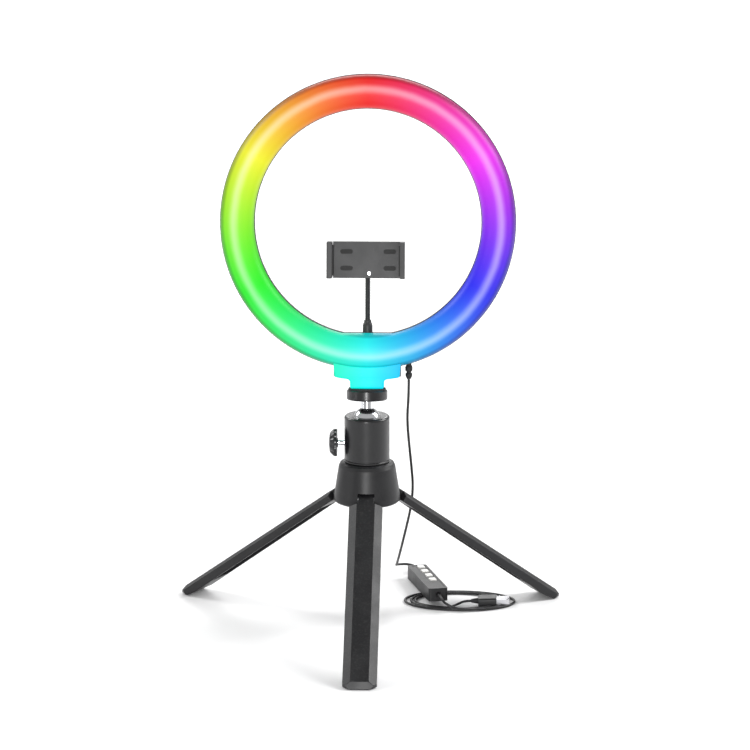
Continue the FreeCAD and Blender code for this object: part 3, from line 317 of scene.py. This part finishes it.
# colour and worn are linear; grain is bumps per metre, depth in metres
plasticFinishes = {
    "black_shell": dict(colour=(0.007, 0.007, 0.008), worn=(0.011, 0.011, 0.012), rough=0.42, spread=0.1,
                        grain=2600, depth=0.00006, dust=0.05, coat=0.0),
    "black_satin": dict(colour=(0.005, 0.005, 0.006), worn=(0.008, 0.008, 0.009), rough=0.3, spread=0.08,
                        grain=3600, depth=0.000025, dust=0.05, coat=0.25),
    "hub_black": dict(colour=(0.006, 0.006, 0.007), worn=(0.01, 0.01, 0.011), rough=0.38, spread=0.1,
                      grain=2800, depth=0.00005, dust=0.06, coat=0.0),
    "leg_black": dict(colour=(0.006, 0.006, 0.007), worn=(0.01, 0.01, 0.011), rough=0.36, spread=0.1,
                      grain=2800, depth=0.00005, dust=0.05, coat=0.0),
    "clamp_grey": dict(colour=(0.026, 0.026, 0.027), worn=(0.032, 0.032, 0.033), rough=0.44, spread=0.08,
                       grain=3200, depth=0.00005, dust=0.05, coat=0.0),
    "contact_black": dict(colour=(0.02, 0.02, 0.02), worn=(0.026, 0.026, 0.026), rough=0.5, spread=0.1,
                          grain=3000, depth=0.00003, dust=0.0, coat=0.0),
    "rubber_black": dict(colour=(0.012, 0.012, 0.012), worn=(0.02, 0.02, 0.02), rough=0.62, spread=0.12,
                         grain=1800, depth=0.00009, dust=0.1, coat=0.0),
    "lead_jacket": dict(colour=(0.009, 0.009, 0.01), worn=(0.014, 0.014, 0.015), rough=0.4, spread=0.1,
                        grain=2200, depth=0.00002, dust=0.05, coat=0.0),
    "remote_black": dict(colour=(0.007, 0.007, 0.008), worn=(0.012, 0.012, 0.013), rough=0.4, spread=0.1,
                         grain=3000, depth=0.00006, dust=0.05, coat=0.0),
    "button_white": dict(colour=(0.8, 0.8, 0.78), worn=(0.72, 0.71, 0.68), rough=0.32, spread=0.1,
                         grain=2600, depth=0.00002, dust=0.0, coat=0.2),
    "board_white": dict(colour=(0.72, 0.74, 0.72), worn=(0.66, 0.68, 0.66), rough=0.3, spread=0.1,
                        grain=1500, depth=0.00002, dust=0.0, coat=0.3),
    "led_yellow": dict(colour=(0.86, 0.7, 0.22), worn=(0.8, 0.64, 0.2), rough=0.35, spread=0.1,
                       grain=2500, depth=0.00002, dust=0.0, coat=0.3),
}
plasticGloss = dict(specular=0.38, coatRough=0.2)
metalFinishes = {
    "chrome": dict(colour=(0.78, 0.79, 0.81), rough=0.09, spread=0.1, rings=900, depth=0.00001),
    "steel": dict(colour=(0.5, 0.5, 0.52), rough=0.26, spread=0.16, rings=1400, depth=0.00002),
    "brass": dict(colour=(0.62, 0.42, 0.16), rough=0.26, spread=0.14, rings=1400, depth=0.00002),
}
lampFinish = dict(
    insideEdge=0.0995, outsideEdge=0.1295, strength=0.94, blockSaturation=1.0, skin=0.05, gloss=0.2,
    cloudScale=55.0, drift=0.02, frostScale=1900.0, frostDepth=0.00002, smooth=0.36, dull=0.5,
    # (share of the way from the inside edge to the outside edge, level)
    saturation=[(0.0, 0.9), (0.1, 0.82), (0.4, 0.76), (0.6, 0.42), (0.8, 0.78), (0.95, 0.9)],
    # the brightness ramp falls off at the inside and outside rims: painted shade on the dome's edges
    brightness=[(0.0, 0.74), (0.09, 0.93), (0.3, 0.97), (0.6, 1.0), (0.84, 0.93), (0.97, 0.66)])


def startMaterial(name):
    material = bpy.data.materials.new(name)
    material.use_nodes = True
    tree = material.node_tree
    return material, tree, tree.nodes["Principled BSDF"]


def addBump(tree, shader, height, depth):
    bump = addNode(tree, "Bump", {"Height": height, "Strength": 1.0, "Distance": depth})
    tree.links.new(bump.outputs[0], shader.inputs["Normal"])


def makePlastic(name, finish):
    material, tree, shader = startMaterial(name)
    skin = addNode(tree, "Group", node_tree=handling)
    for label, value in (("Colour", (*finish["colour"], 1)), ("Worn", (*finish["worn"], 1)),
                         ("Dust", finish["dust"]), ("Rough", finish["rough"]),
                         ("Spread", finish["spread"])):
        skin.inputs[label].default_value = value
    grain = addNode(tree, "Group", node_tree=mouldGrain)
    grain.inputs["Scale"].default_value = finish["grain"]
    grain.inputs["Coarse"].default_value = finish["grain"] / 6
    tree.links.new(skin.outputs["Colour"], shader.inputs["Base Color"])
    tree.links.new(skin.outputs["Rough"], shader.inputs["Roughness"])
    shader.inputs["Coat Weight"].default_value = finish["coat"]
    shader.inputs["Coat Roughness"].default_value = plasticGloss["coatRough"]
    shader.inputs["Specular IOR Level"].default_value = plasticGloss["specular"]
    addBump(tree, shader, grain.outputs["Height"], finish["depth"])
    return material


def makeMetal(name, finish):
    material, tree, shader = startMaterial(name)
    skin = addNode(tree, "Group", node_tree=handling)
    dulled = tuple(0.85 * part for part in finish["colour"])
    for label, value in (("Colour", (*finish["colour"], 1)), ("Worn", (*dulled, 1)), ("Dust", 0.0),
                         ("Rough", finish["rough"]), ("Spread", finish["spread"])):
        skin.inputs[label].default_value = value
    rings = addNode(tree, "Group", node_tree=turnedRings)
    rings.inputs["Scale"].default_value = finish["rings"]
    tree.links.new(skin.outputs["Colour"], shader.inputs["Base Color"])
    tree.links.new(skin.outputs["Rough"], shader.inputs["Roughness"])
    shader.inputs["Metallic"].default_value = 1.0
    addBump(tree, shader, rings.outputs["Height"], finish["depth"])
    return material


def rampNode(tree, position, stops):
    ramp = addNode(tree, "ValToRGB", {"Fac": position})
    ramp.color_ramp.interpolation = "EASE"
    elements = ramp.color_ramp.elements
    while len(elements) < len(stops):
        elements.new(0.5)
    for element, (where, level) in zip(elements, stops):
        element.position = where
        element.color = (level, level, level, 1)
    return ramp.outputs["Color"]


def makeLamp(name, isBlock):
    # frosted skin over the chips: a pale crest where they sit, full colour beside it, more saturated at
    # the rims, and both rims darkened as painted shade
    material, tree, shader = startMaterial(name)
    place, local = ringCoordinates(tree)
    flat = addNode(tree, "VectorMath", {0: local, 1: (1, 1, 0)}, operation="MULTIPLY")
    reach = addNode(tree, "VectorMath", {0: flat.outputs[0]}, operation="LENGTH")
    share = addNode(tree, "MapRange", {"Value": reach.outputs["Value"], 1: lampFinish["insideEdge"],
                                       2: lampFinish["outsideEdge"]})
    cloud = addNode(tree, "TexNoise", {"Vector": place, "Scale": lampFinish["cloudScale"],
                                       "Detail": 3.0})
    drift = addNode(tree, "MapRange", {"Value": cloud.outputs["Fac"], 3: -lampFinish["drift"],
                                       4: lampFinish["drift"]})
    nudged = addNode(tree, "Math", {0: share.outputs[0], 1: drift.outputs[0]}, operation="ADD")
    colour = addNode(tree, "Group", node_tree=lampColour)
    if isBlock:
        colour.inputs["Saturation"].default_value = lampFinish["blockSaturation"]
        colour.inputs["Brightness"].default_value = 1.0
    else:
        # the saturation ramp pales the crest; the brightness ramp darkens both rims as painted shade
        for label in ("Saturation", "Brightness"):
            level = rampNode(tree, nudged.outputs[0], lampFinish[label.lower()])
            tree.links.new(level, colour.inputs[label])
    shaded = addNode(tree, "VectorMath", {0: colour.outputs["Colour"],
                                          1: (lampFinish["skin"],) * 3}, operation="MULTIPLY")
    tree.links.new(shaded.outputs[0], shader.inputs["Base Color"])
    tree.links.new(colour.outputs["Colour"], shader.inputs["Emission Color"])
    shader.inputs["Emission Strength"].default_value = lampFinish["strength"]
    shader.inputs["Specular IOR Level"].default_value = lampFinish["gloss"]
    frost = addNode(tree, "TexNoise", {"Vector": place, "Scale": lampFinish["frostScale"],
                                       "Detail": 3.0})
    rough = addNode(tree, "MapRange", {"Value": frost.outputs["Fac"], 3: lampFinish["smooth"],
                                       4: lampFinish["dull"]})
    tree.links.new(rough.outputs[0], shader.inputs["Roughness"])
    addBump(tree, shader, frost.outputs["Fac"], lampFinish["frostDepth"])
    return material


finishes = {}
for slotName, finish in plasticFinishes.items():
    finishes[slotName] = makePlastic(slotName + "_skin", finish)
for slotName, finish in metalFinishes.items():
    finishes[slotName] = makeMetal(slotName + "_skin", finish)
lampSkin, lampBlockSkin = makeLamp("frostedRing", False), makeLamp("frostedBlock", True)
finishes["frosted_diffuser"] = lampSkin
for node in frame["nodes"].values():
    for holder in node.material_slots:
        holder.material = finishes[holder.material.name.split(".")[0]]
print("stage: finishes made")


# Camera, from low in front and a little to one side

cameraView = dict(target=(0.00705, 0.0, 0.2281), distance=4.0, elevation=14.06, azimuth=1.907,
                  lens=218.5, sensor=36, sight=50)


def addCamera():
    rise, swing = math.radians(cameraView["elevation"]), math.radians(cameraView["azimuth"])
    back = Vector((math.sin(swing) * math.cos(rise), -math.cos(swing) * math.cos(rise), math.sin(rise)))
    data = bpy.data.cameras.new("camera")
    data.lens = cameraView["lens"]
    data.sensor_width = cameraView["sensor"]
    data.clip_end = cameraView["sight"]
    camera = bpy.data.objects.new("camera", data)
    camera.location = Vector(cameraView["target"]) + cameraView["distance"] * back
    camera.rotation_euler = back.to_track_quat("Z", "Y").to_euler()
    bpy.context.collection.objects.link(camera)
    bpy.context.scene.camera = camera


addCamera()
print("stage: camera placed")


# Lead, from the gland down to the remote, then a loose coil and the plug

# heights where the lead is split, and for each stretch the heights of its bend
leadSizes = dict(diameter=0.0023, tubeTurns=16, step=0.0006, swivelEnd=0.178, tiltEnd=0.135,
                 swivelBend=(0.208, 0.181), tiltBend=(0.176, 0.138), panBend=(0.131, 0.03))
hangRoute = [
    (0.0365, 0.01111, 0.2217), (0.0365, 0.00901, 0.20715), (0.0350, 0.0115, 0.187),
    (0.0362, 0.0205, 0.164), (0.0383, 0.031, 0.139), (0.0398, 0.044, 0.114),
    (0.0370, 0.059, 0.089), (0.0320, 0.076, 0.064), (0.0274, 0.097, 0.041),
    (0.0242, 0.121, 0.024), (0.0224, 0.140, 0.014), (0.0216, 0.1524, 0.0094),
    (0.0215, 0.1624, 0.0068), (0.0265, 0.168, 0.0058), (0.0336, 0.168, 0.0056),
    (0.0385, 0.1626, 0.0056), (0.03781, 0.15564, 0.00544), (0.0391, 0.1504, 0.0057)]
feedRoute = [
    (0.06388, 0.04953, 0.01078), (0.06521, 0.0441, 0.01105), (0.0674, 0.0386, 0.0086),
    (0.0728, 0.0368, 0.0056), (0.0782, 0.0376, 0.0036)]
tailRoute = [
    (0.0706, 0.0450, 0.0012), (0.0752, 0.0502, 0.0012), (0.0802, 0.0560, 0.0018),
    (0.08551, 0.0595, 0.0035), (0.0919, 0.0595, 0.00372)]


def makeCurve(name, route, radius):
    data = bpy.data.curves.new(name, "CURVE")
    data.dimensions = "3D"
    data.resolution_u = 10
    data.bevel_depth = radius
    data.bevel_resolution = 4
    data.use_fill_caps = radius > 0
    spline = data.splines.new("NURBS")
    spline.points.add(len(route) - 1)
    for point, place in zip(spline.points, route):
        point.co = (*place, 1)
    spline.order_u = 3
    spline.use_endpoint_u = True
    curve = bpy.data.objects.new(name, data)
    bpy.context.collection.objects.link(curve)
    return curve


def followRoute(route, step):
    # points at an even step along the smooth line that the route controls
    guide = makeCurve("guide", route, 0)
    bpy.context.view_layer.update()
    line = bpy.data.meshes.new_from_object(guide)
    flat = np.empty(len(line.vertices) * 3, np.float32)
    line.vertices.foreach_get("co", flat)
    bpy.data.objects.remove(guide)
    points = flat.reshape(-1, 3).astype(float)
    travel = np.concatenate([[0], np.cumsum(np.linalg.norm(np.diff(points, axis=0), axis=1))])
    evenly = np.linspace(0, travel[-1], int(travel[-1] / step) + 1)
    return np.stack([np.interp(evenly, travel, points[:, axis]) for axis in range(3)], 1)


def pathLength(points):
    return float(np.linalg.norm(np.diff(points, axis=0), axis=1).sum())


def addHangingLead():
    # three stretches, each reaching across one joint of the head
    path = followRoute(hangRoute, leadSizes["step"])
    swivelCut = int(np.argmax(path[:, 2] < leadSizes["swivelEnd"]))
    tiltCut = int(np.argmax(path[:, 2] < leadSizes["tiltEnd"]))
    stretches = [
        ("leadFromRing", path[:swivelCut + 1], "ring_head", "ball", "swivelBend", "hanging"),
        ("leadBesideHead", path[swivelCut:tiltCut + 1], "ball", "cup", "tiltBend", "hanging"),
        ("leadToRemote", path[tiltCut:], "cup", "stand", "panBend", "loose")]
    for name, points, above, below, bend, lay in stretches:
        mesh = tube(points, leadSizes["diameter"] / 2, leadSizes["tubeTurns"])
        piece = makePiece(name, *mesh, finishes["lead_jacket"], "lead_jacket")
        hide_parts("lead_hanging")
        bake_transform(piece)


# drawIn and ease give the long half's loss with each turn, drawShort the short half's, sway the shift
coilSizes = dict(turns=3.0, pointsPerTurn=16, unlaid=2, startAngle=24, slack=0.0019, drawIn=0.0076,
                 ease=0.00055, drawShort=0.00245, sway=0.001, lift=0.00005, lead=(0.083, 0.0379, 0.0023))


def coilRoute():
    # each turn is an ellipse that shrinks inwards as it goes, a little off centre from the last
    low, high = (np.array(corner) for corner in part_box("lead_coil"))
    middle, half = (low + high) / 2, (high - low) / 2 - leadSizes["diameter"] / 2
    count = int(coilSizes["turns"] * coilSizes["pointsPerTurn"]) - coilSizes["unlaid"]
    spacing = 2 * math.pi / coilSizes["pointsPerTurn"]
    height = leadSizes["diameter"] / 2 + coilSizes["lift"]
    route = []
    for index in range(count):
        angle = math.radians(coilSizes["startAngle"]) + index * spacing
        turn = angle / (2 * math.pi)
        loss = coilSizes["drawIn"] * turn - coilSizes["ease"] * turn ** 2
        longHalf = half[0] + coilSizes["slack"] - loss
        shortHalf = half[1] - coilSizes["drawShort"] * turn
        shift = coilSizes["sway"] * math.sin(math.pi * turn / 2)
        route.append((middle[0] + shift + longHalf * math.sin(angle),
                      middle[1] - shortHalf * math.cos(angle), height))
    return route


def addPlugLead():
    route = feedRoute + [coilSizes["lead"]] + coilRoute() + tailRoute
    piece = makeCurve("leadToPlug", route, leadSizes["diameter"] / 2)
    piece.data.materials.append(finishes["lead_jacket"])
    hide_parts("lead_feed", "lead_coil", "lead_tail")
    length = pathLength(followRoute(route, leadSizes["step"]))
    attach(piece, "stand")


addHangingLead()
addPlugLead()
print("stage: leads laid")


# Frosted diffuser: the lit dome and the block below it

diffuserSizes = dict(wall=0.0016, around=360, across=26, blockRoll=0.0014, cornerRound=0.0018,
                     innerRound=0.003, hiddenDepth=0.003, slope=0.001, clear=0.002)


def diffuserSection():
    # the shell's own measures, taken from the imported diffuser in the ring's frame
    local = into(ringPlace, nodePoints("front_diffuser"))
    reach = np.hypot(local[:, 0], local[:, 1])
    upper = local[:, 1] > 0
    lowest = local[:, 1].min()
    atFoot = np.abs(local[:, 1] - lowest) < 1e-4
    clear = diffuserSizes["clear"]
    below = (reach > reach[upper].max() + clear) & (local[:, 1] < 0)
    wide = below & (np.abs(local[:, 0]) > np.abs(local[atFoot, 0]).max() + clear)
    return dict(outside=reach[upper].max(), inside=reach[upper].min(), foot=lowest,
                footHalf=np.abs(local[atFoot, 0]).max(), blockHalf=np.abs(local[below, 0]).max(),
                blockReach=reach[wide].max(), blockDepth=local[atFoot, 2].max(),
                flat=-into(ringPlace, nodePoints("arm_ferrule"))[:, 1].min())


section = diffuserSection()


def addDome():
    # half a tube round the ring: reach = middle + half cos t, depth = half sin t; the inside edge is
    # pulled in to a chord at the foot of the opening. The same again, smaller, is its inner face.
    around = np.linspace(0, 2 * np.pi, diffuserSizes["around"], endpoint=False)[None, :]
    fromFoot = np.abs(np.mod(around - np.pi / 2, 2 * np.pi) - np.pi)
    inside = np.minimum(section["inside"], section["flat"] / np.maximum(np.cos(fromFoot), 0.5))
    middle, half = (section["outside"] + inside) / 2, (section["outside"] - inside) / 2
    depth = (section["outside"] - section["inside"]) / 2
    shells = []
    for wall, start, end in ((0.0, 0.0, np.pi), (diffuserSizes["wall"], np.pi, 0.0)):
        across = np.linspace(start, end, diffuserSizes["across"])[:, None]
        reach = middle + (half - wall) * np.cos(across)
        height = (depth - wall) * np.sin(across)
        shells.append(np.stack([reach * np.cos(around), reach * np.sin(around), height + 0 * around], -1))
    local = np.concatenate(shells)
    faces = gridQuads(*local.shape[:2], closeRows=True, closeColumns=True).tolist()
    piece = makePiece("diffuserDome", outOf(ringPlace, local), faces, lampSkin, "frosted_diffuser", 60)
    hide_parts("front_diffuser")
    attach(piece, "ring_head")


def addBlock():
    # flat block with rolled edges: outer corners and the step to the foot are arcs
    wide, narrow = section["blockHalf"], section["footHalf"]
    hidden = section["outside"] - diffuserSizes["hiddenDepth"]

    def onCircle(x, radius):
        return -math.sqrt(radius * radius - x * x)

    rim, corner = section["blockReach"], wide - diffuserSizes["slope"]
    convex, concave = diffuserSizes["cornerRound"], diffuserSizes["innerRound"]
    half = [(narrow, section["foot"], convex), (narrow, onCircle(narrow, rim), concave),
            ((narrow + wide) / 2, onCircle((narrow + wide) / 2, rim), 0),
            (corner, onCircle(corner, rim), convex), (wide, onCircle(wide, hidden), 0),
            (wide / 2, onCircle(wide / 2, hidden), 0)]
    other = [(-x, y, bend) for x, y, bend in reversed(half)]
    outline = roundLine(half + [(0, onCircle(0, hidden), 0)] + other, closed=True)
    roll = np.linspace(0, np.pi / 2, 6)
    edge = diffuserSizes["blockRoll"]
    rolled = np.stack([edge * (1 - np.cos(roll)),
                       section["blockDepth"] - edge + edge * np.sin(roll)], 1)
    layers = np.concatenate([[[0, 0.0]], rolled])
    points, faces = softPrism(outline, layers, ringPlace)
    piece = makePiece("diffuserBlock", points, faces, lampBlockSkin, "frosted_diffuser", 35)
    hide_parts("front_diffuser")
    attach(piece, "ring_head")


addDome()
addBlock()
print("stage: diffuser made")


# Flexible neck between the ring and the phone clamp

neckSizes = dict(radius=0.0024, ridge=0.055, pitch=0.0014, step=0.00014, turns=24, sunk=0.004,
                 belowBall=0.003, still=0.0002)


def addNeck():
    # a wound neck: the radius ripples along a helix. Each stretch spans one pivot of the arm.
    pivots = [jointPoint(name) for name in ("arm_bend_1", "arm_sway_2", "arm_bend_3", "arm_sway_4")]
    link = np.linalg.norm(pivots[1] - pivots[0])
    ferruleTop = into(ringPlace, nodePoints("arm_ferrule"))[:, 1].max()
    foot = pivots[0] - stemAxis * (into(ringPlace, pivots[0])[1] - ferruleTop + neckSizes["sunk"])
    tip = jointPoint("clamp_tilt") - stemAxis * neckSizes["belowBall"]
    ends = [foot] + [pivot + stemAxis * link / 2 for pivot in pivots[:3]] + [tip]
    nodes = ["arm_root", "arm_link_1", "arm_link_2", "arm_link_3"]
    names = ["neckFoot", "neckLower", "neckMiddle", "neckUpper"]
    for index, name in enumerate(names):
        start, end = ends[index], ends[index + 1]
        count = int(np.linalg.norm(end - start) / neckSizes["step"])
        path = start + np.linspace(0, 1, count)[:, None] * (end - start)
        offset = np.linalg.norm(start - foot)

        def wound(travel, angle):
            phase = 2 * np.pi * (travel + offset) / neckSizes["pitch"] - angle
            return 1 - neckSizes["ridge"] + neckSizes["ridge"] * np.cos(phase)

        mesh = tube(path, neckSizes["radius"], neckSizes["turns"], wound)
        piece = makePiece(name, *mesh, finishes["black_satin"], "black_satin", 80)
        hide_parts(nodes[index])
        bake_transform(piece)


ballSizes = dict(radius=0.0042, collarRadius=0.0028, collarFoot=-0.0088, collarTop=-0.0052,
                 footRound=0.0004, topRound=0.0006, lowest=-1.0)


def addNeckBall():
    # the ball inside the clamp's socket, with the short collar that grips the neck's end
    place = makePlace(jointPoint("clamp_tilt"), stemAxis, rightward)
    sweep = np.linspace(ballSizes["lowest"], np.pi / 2, 16)
    sphere = ballSizes["radius"] * np.stack([np.cos(sweep), np.sin(sweep)], 1)
    foot, top, reach = (ballSizes[key] for key in ("collarFoot", "collarTop", "collarRadius"))
    collar = roundLine([(0, foot, 0), (reach, foot, ballSizes["footRound"]),
                        (reach, top, ballSizes["topRound"]), (sphere[0, 0], sphere[0, 1], 0)])
    points, faces = lathe(np.concatenate([collar[:-1], sphere]), place, 40)
    piece = makePiece("neckBall", points, faces, finishes["black_satin"], "black_satin")
    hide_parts("arm_tip_ball")
    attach(piece, "arm_tip")


addNeck()
addNeckBall()
print("stage: neck wound")


# Clamping knob of the ball head

knobSizes = dict(lobes=10, scallop=0.085, edge=0.0012, neck=0.0042, neckRound=0.0003, step=0.0008,
                 rim=0.0036, crown=0.72, drop=0.0012)


def addKnob():
    # turned outline with a domed end; between lobes the radius dips with cos(lobes x angle)
    place = makePlace(jointPoint("lock_knob_turn"), jointAxis("lock_knob_turn"), (0, 0, 1))
    local = into(place, nodePoints("lock_knob"))
    radius = np.hypot(local[:, 0], local[:, 1]).max()
    low, high = local[:, 2].min(), local[:, 2].max()
    edge, neck, crown = knobSizes["edge"], knobSizes["neck"], knobSizes["crown"]
    profile = roundLine([
        (0, low, 0), (neck, low, knobSizes["neckRound"]),
        (neck, low + knobSizes["step"], knobSizes["neckRound"]),
        (radius, low + knobSizes["step"], edge / 2), (radius, low + knobSizes["rim"], edge * 2),
        (radius * crown, high - knobSizes["drop"], edge * 3), (0, high, 0)], steps=8)

    def scalloped(reach, height, angle):
        rim = np.clip((reach - 0.5 * radius) / (0.5 * radius), 0, 1)
        dip = 0.5 - 0.5 * np.cos(knobSizes["lobes"] * angle)
        return 1 - knobSizes["scallop"] * rim * rim * (3 - 2 * rim) * dip ** 2

    points, faces = lathe(profile, place, 160, scalloped)
    piece = makePiece("clampKnob", points, faces, finishes["black_satin"], "black_satin")
    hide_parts("lock_knob")
    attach(piece, "lock")


addKnob()
print("stage: knob turned")


# Moulded parts keep their shape and gain rolled edges

rollSizes = dict(steps=4, flatAngle=0.6, sharpAngle=38, rolledAngle=32)
softEdges = {
    "leg_front": ("front_leg", 0.002), "leg_left": ("left_leg", 0.002),
    "leg_right": ("right_leg", 0.002),
    "clamp_jaw": ("jaw", 0.0008), "plug_body": ("stand", 0.0006),
}


def softenEdges():
    # flat faces are joined back into one polygon each, then every edge past the angle is rolled
    for name, (body, width) in softEdges.items():
        source = frame["nodes"][name]
        work = bmesh.new()
        work.from_mesh(source.data)
        bmesh.ops.remove_doubles(work, verts=work.verts, dist=2e-6)
        bmesh.ops.dissolve_limit(work, angle_limit=math.radians(rollSizes["flatAngle"]),
                                 verts=work.verts, edges=work.edges)
        mesh = bpy.data.meshes.new(name + "Soft")
        work.to_mesh(mesh)
        work.free()
        mesh.shade_smooth()
        mesh.set_sharp_from_angle(angle=math.radians(rollSizes["sharpAngle"]))
        for slotMaterial in source.data.materials:
            mesh.materials.append(slotMaterial)
        piece = bpy.data.objects.new(name + "Soft", mesh)
        bpy.context.collection.objects.link(piece)
        roll = piece.modifiers.new("roll", "BEVEL")
        roll.width = width
        roll.segments = rollSizes["steps"]
        roll.limit_method = "ANGLE"
        roll.angle_limit = math.radians(rollSizes["rolledAngle"])
        roll.harden_normals = True
        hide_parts(name)
        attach(piece, body)


softenEdges()
print("stage: edges rolled")


# Floor and soft light

studio = dict(floorColour=(0.9, 0.9, 0.9, 1), floorDrift=(0.84, 0.84, 0.845, 1), driftScale=1.3,
              floorHalf=8, floorDrop=0.0002, floorRough=0.75, floorGloss=0.2,
              worldColour=(1.0, 1.0, 1.0, 1), worldStrength=0.5)
lamps = {
    "frontStrip": dict(place=(-0.15, -4.8, 0.9), aim=(0, 0, 0.15), size=(0.3, 1.7), power=120),
    "leftBox": dict(place=(-2.5, 1.4, 2.1), aim=(0, 0, 0.1), size=(1.2, 1.4), power=46),
    "rightBox": dict(place=(2.3, 0.7, 1.9), aim=(0, 0, 0.1), size=(1.2, 1.8), power=84),
    "lowLeftBox": dict(place=(-2.6, -1.2, 0.7), aim=(0, 0, 0.2), size=(0.4, 1.2), power=8),
    "farBox": dict(place=(0.0, 4.6, 2.6), aim=(0, 3.4, 0), size=(3.2, 1.6), power=120),
}


def addStudio():
    world = bpy.data.worlds.new("studio")
    world.use_nodes = True
    background = world.node_tree.nodes["Background"]
    background.inputs["Color"].default_value = studio["worldColour"]
    background.inputs["Strength"].default_value = studio["worldStrength"]
    bpy.context.scene.world = world
    half = studio["floorHalf"]
    corners = [(-half, -half, 0), (half, -half, 0), (half, half, 0), (-half, half, 0)]
    mesh = bpy.data.meshes.new("floor")
    mesh.from_pydata(corners, [], [[0, 1, 2, 3]])
    floor = bpy.data.objects.new("floor", mesh)
    floor.location.z = -studio["floorDrop"]
    bpy.context.collection.objects.link(floor)
    material, tree, shader = startMaterial("paleFloor")
    place = addNode(tree, "TexCoord")
    drift = addNode(tree, "TexNoise", {"Vector": place.outputs["Object"],
                                       "Scale": studio["driftScale"], "Detail": 2.0})
    tone = addNode(tree, "Mix", {"Factor": drift.outputs["Fac"], 6: studio["floorColour"],
                                 7: studio["floorDrift"]}, data_type="RGBA")
    tree.links.new(tone.outputs[2], shader.inputs["Base Color"])
    shader.inputs["Roughness"].default_value = studio["floorRough"]
    shader.inputs["Specular IOR Level"].default_value = studio["floorGloss"]
    mesh.materials.append(material)
    for name, lamp in lamps.items():
        data = bpy.data.lights.new(name, "AREA")
        data.shape = "RECTANGLE"
        data.size, data.size_y = lamp["size"]
        data.energy = lamp["power"]
        light = bpy.data.objects.new(name, data)
        light.location = lamp["place"]
        direction = Vector(lamp["place"]) - Vector(lamp["aim"])
        light.rotation_euler = direction.to_track_quat("Z", "Y").to_euler()
        bpy.context.collection.objects.link(light)


addStudio()
bpy.context.scene.view_settings.view_transform = "Standard"
print("stage: studio lit")
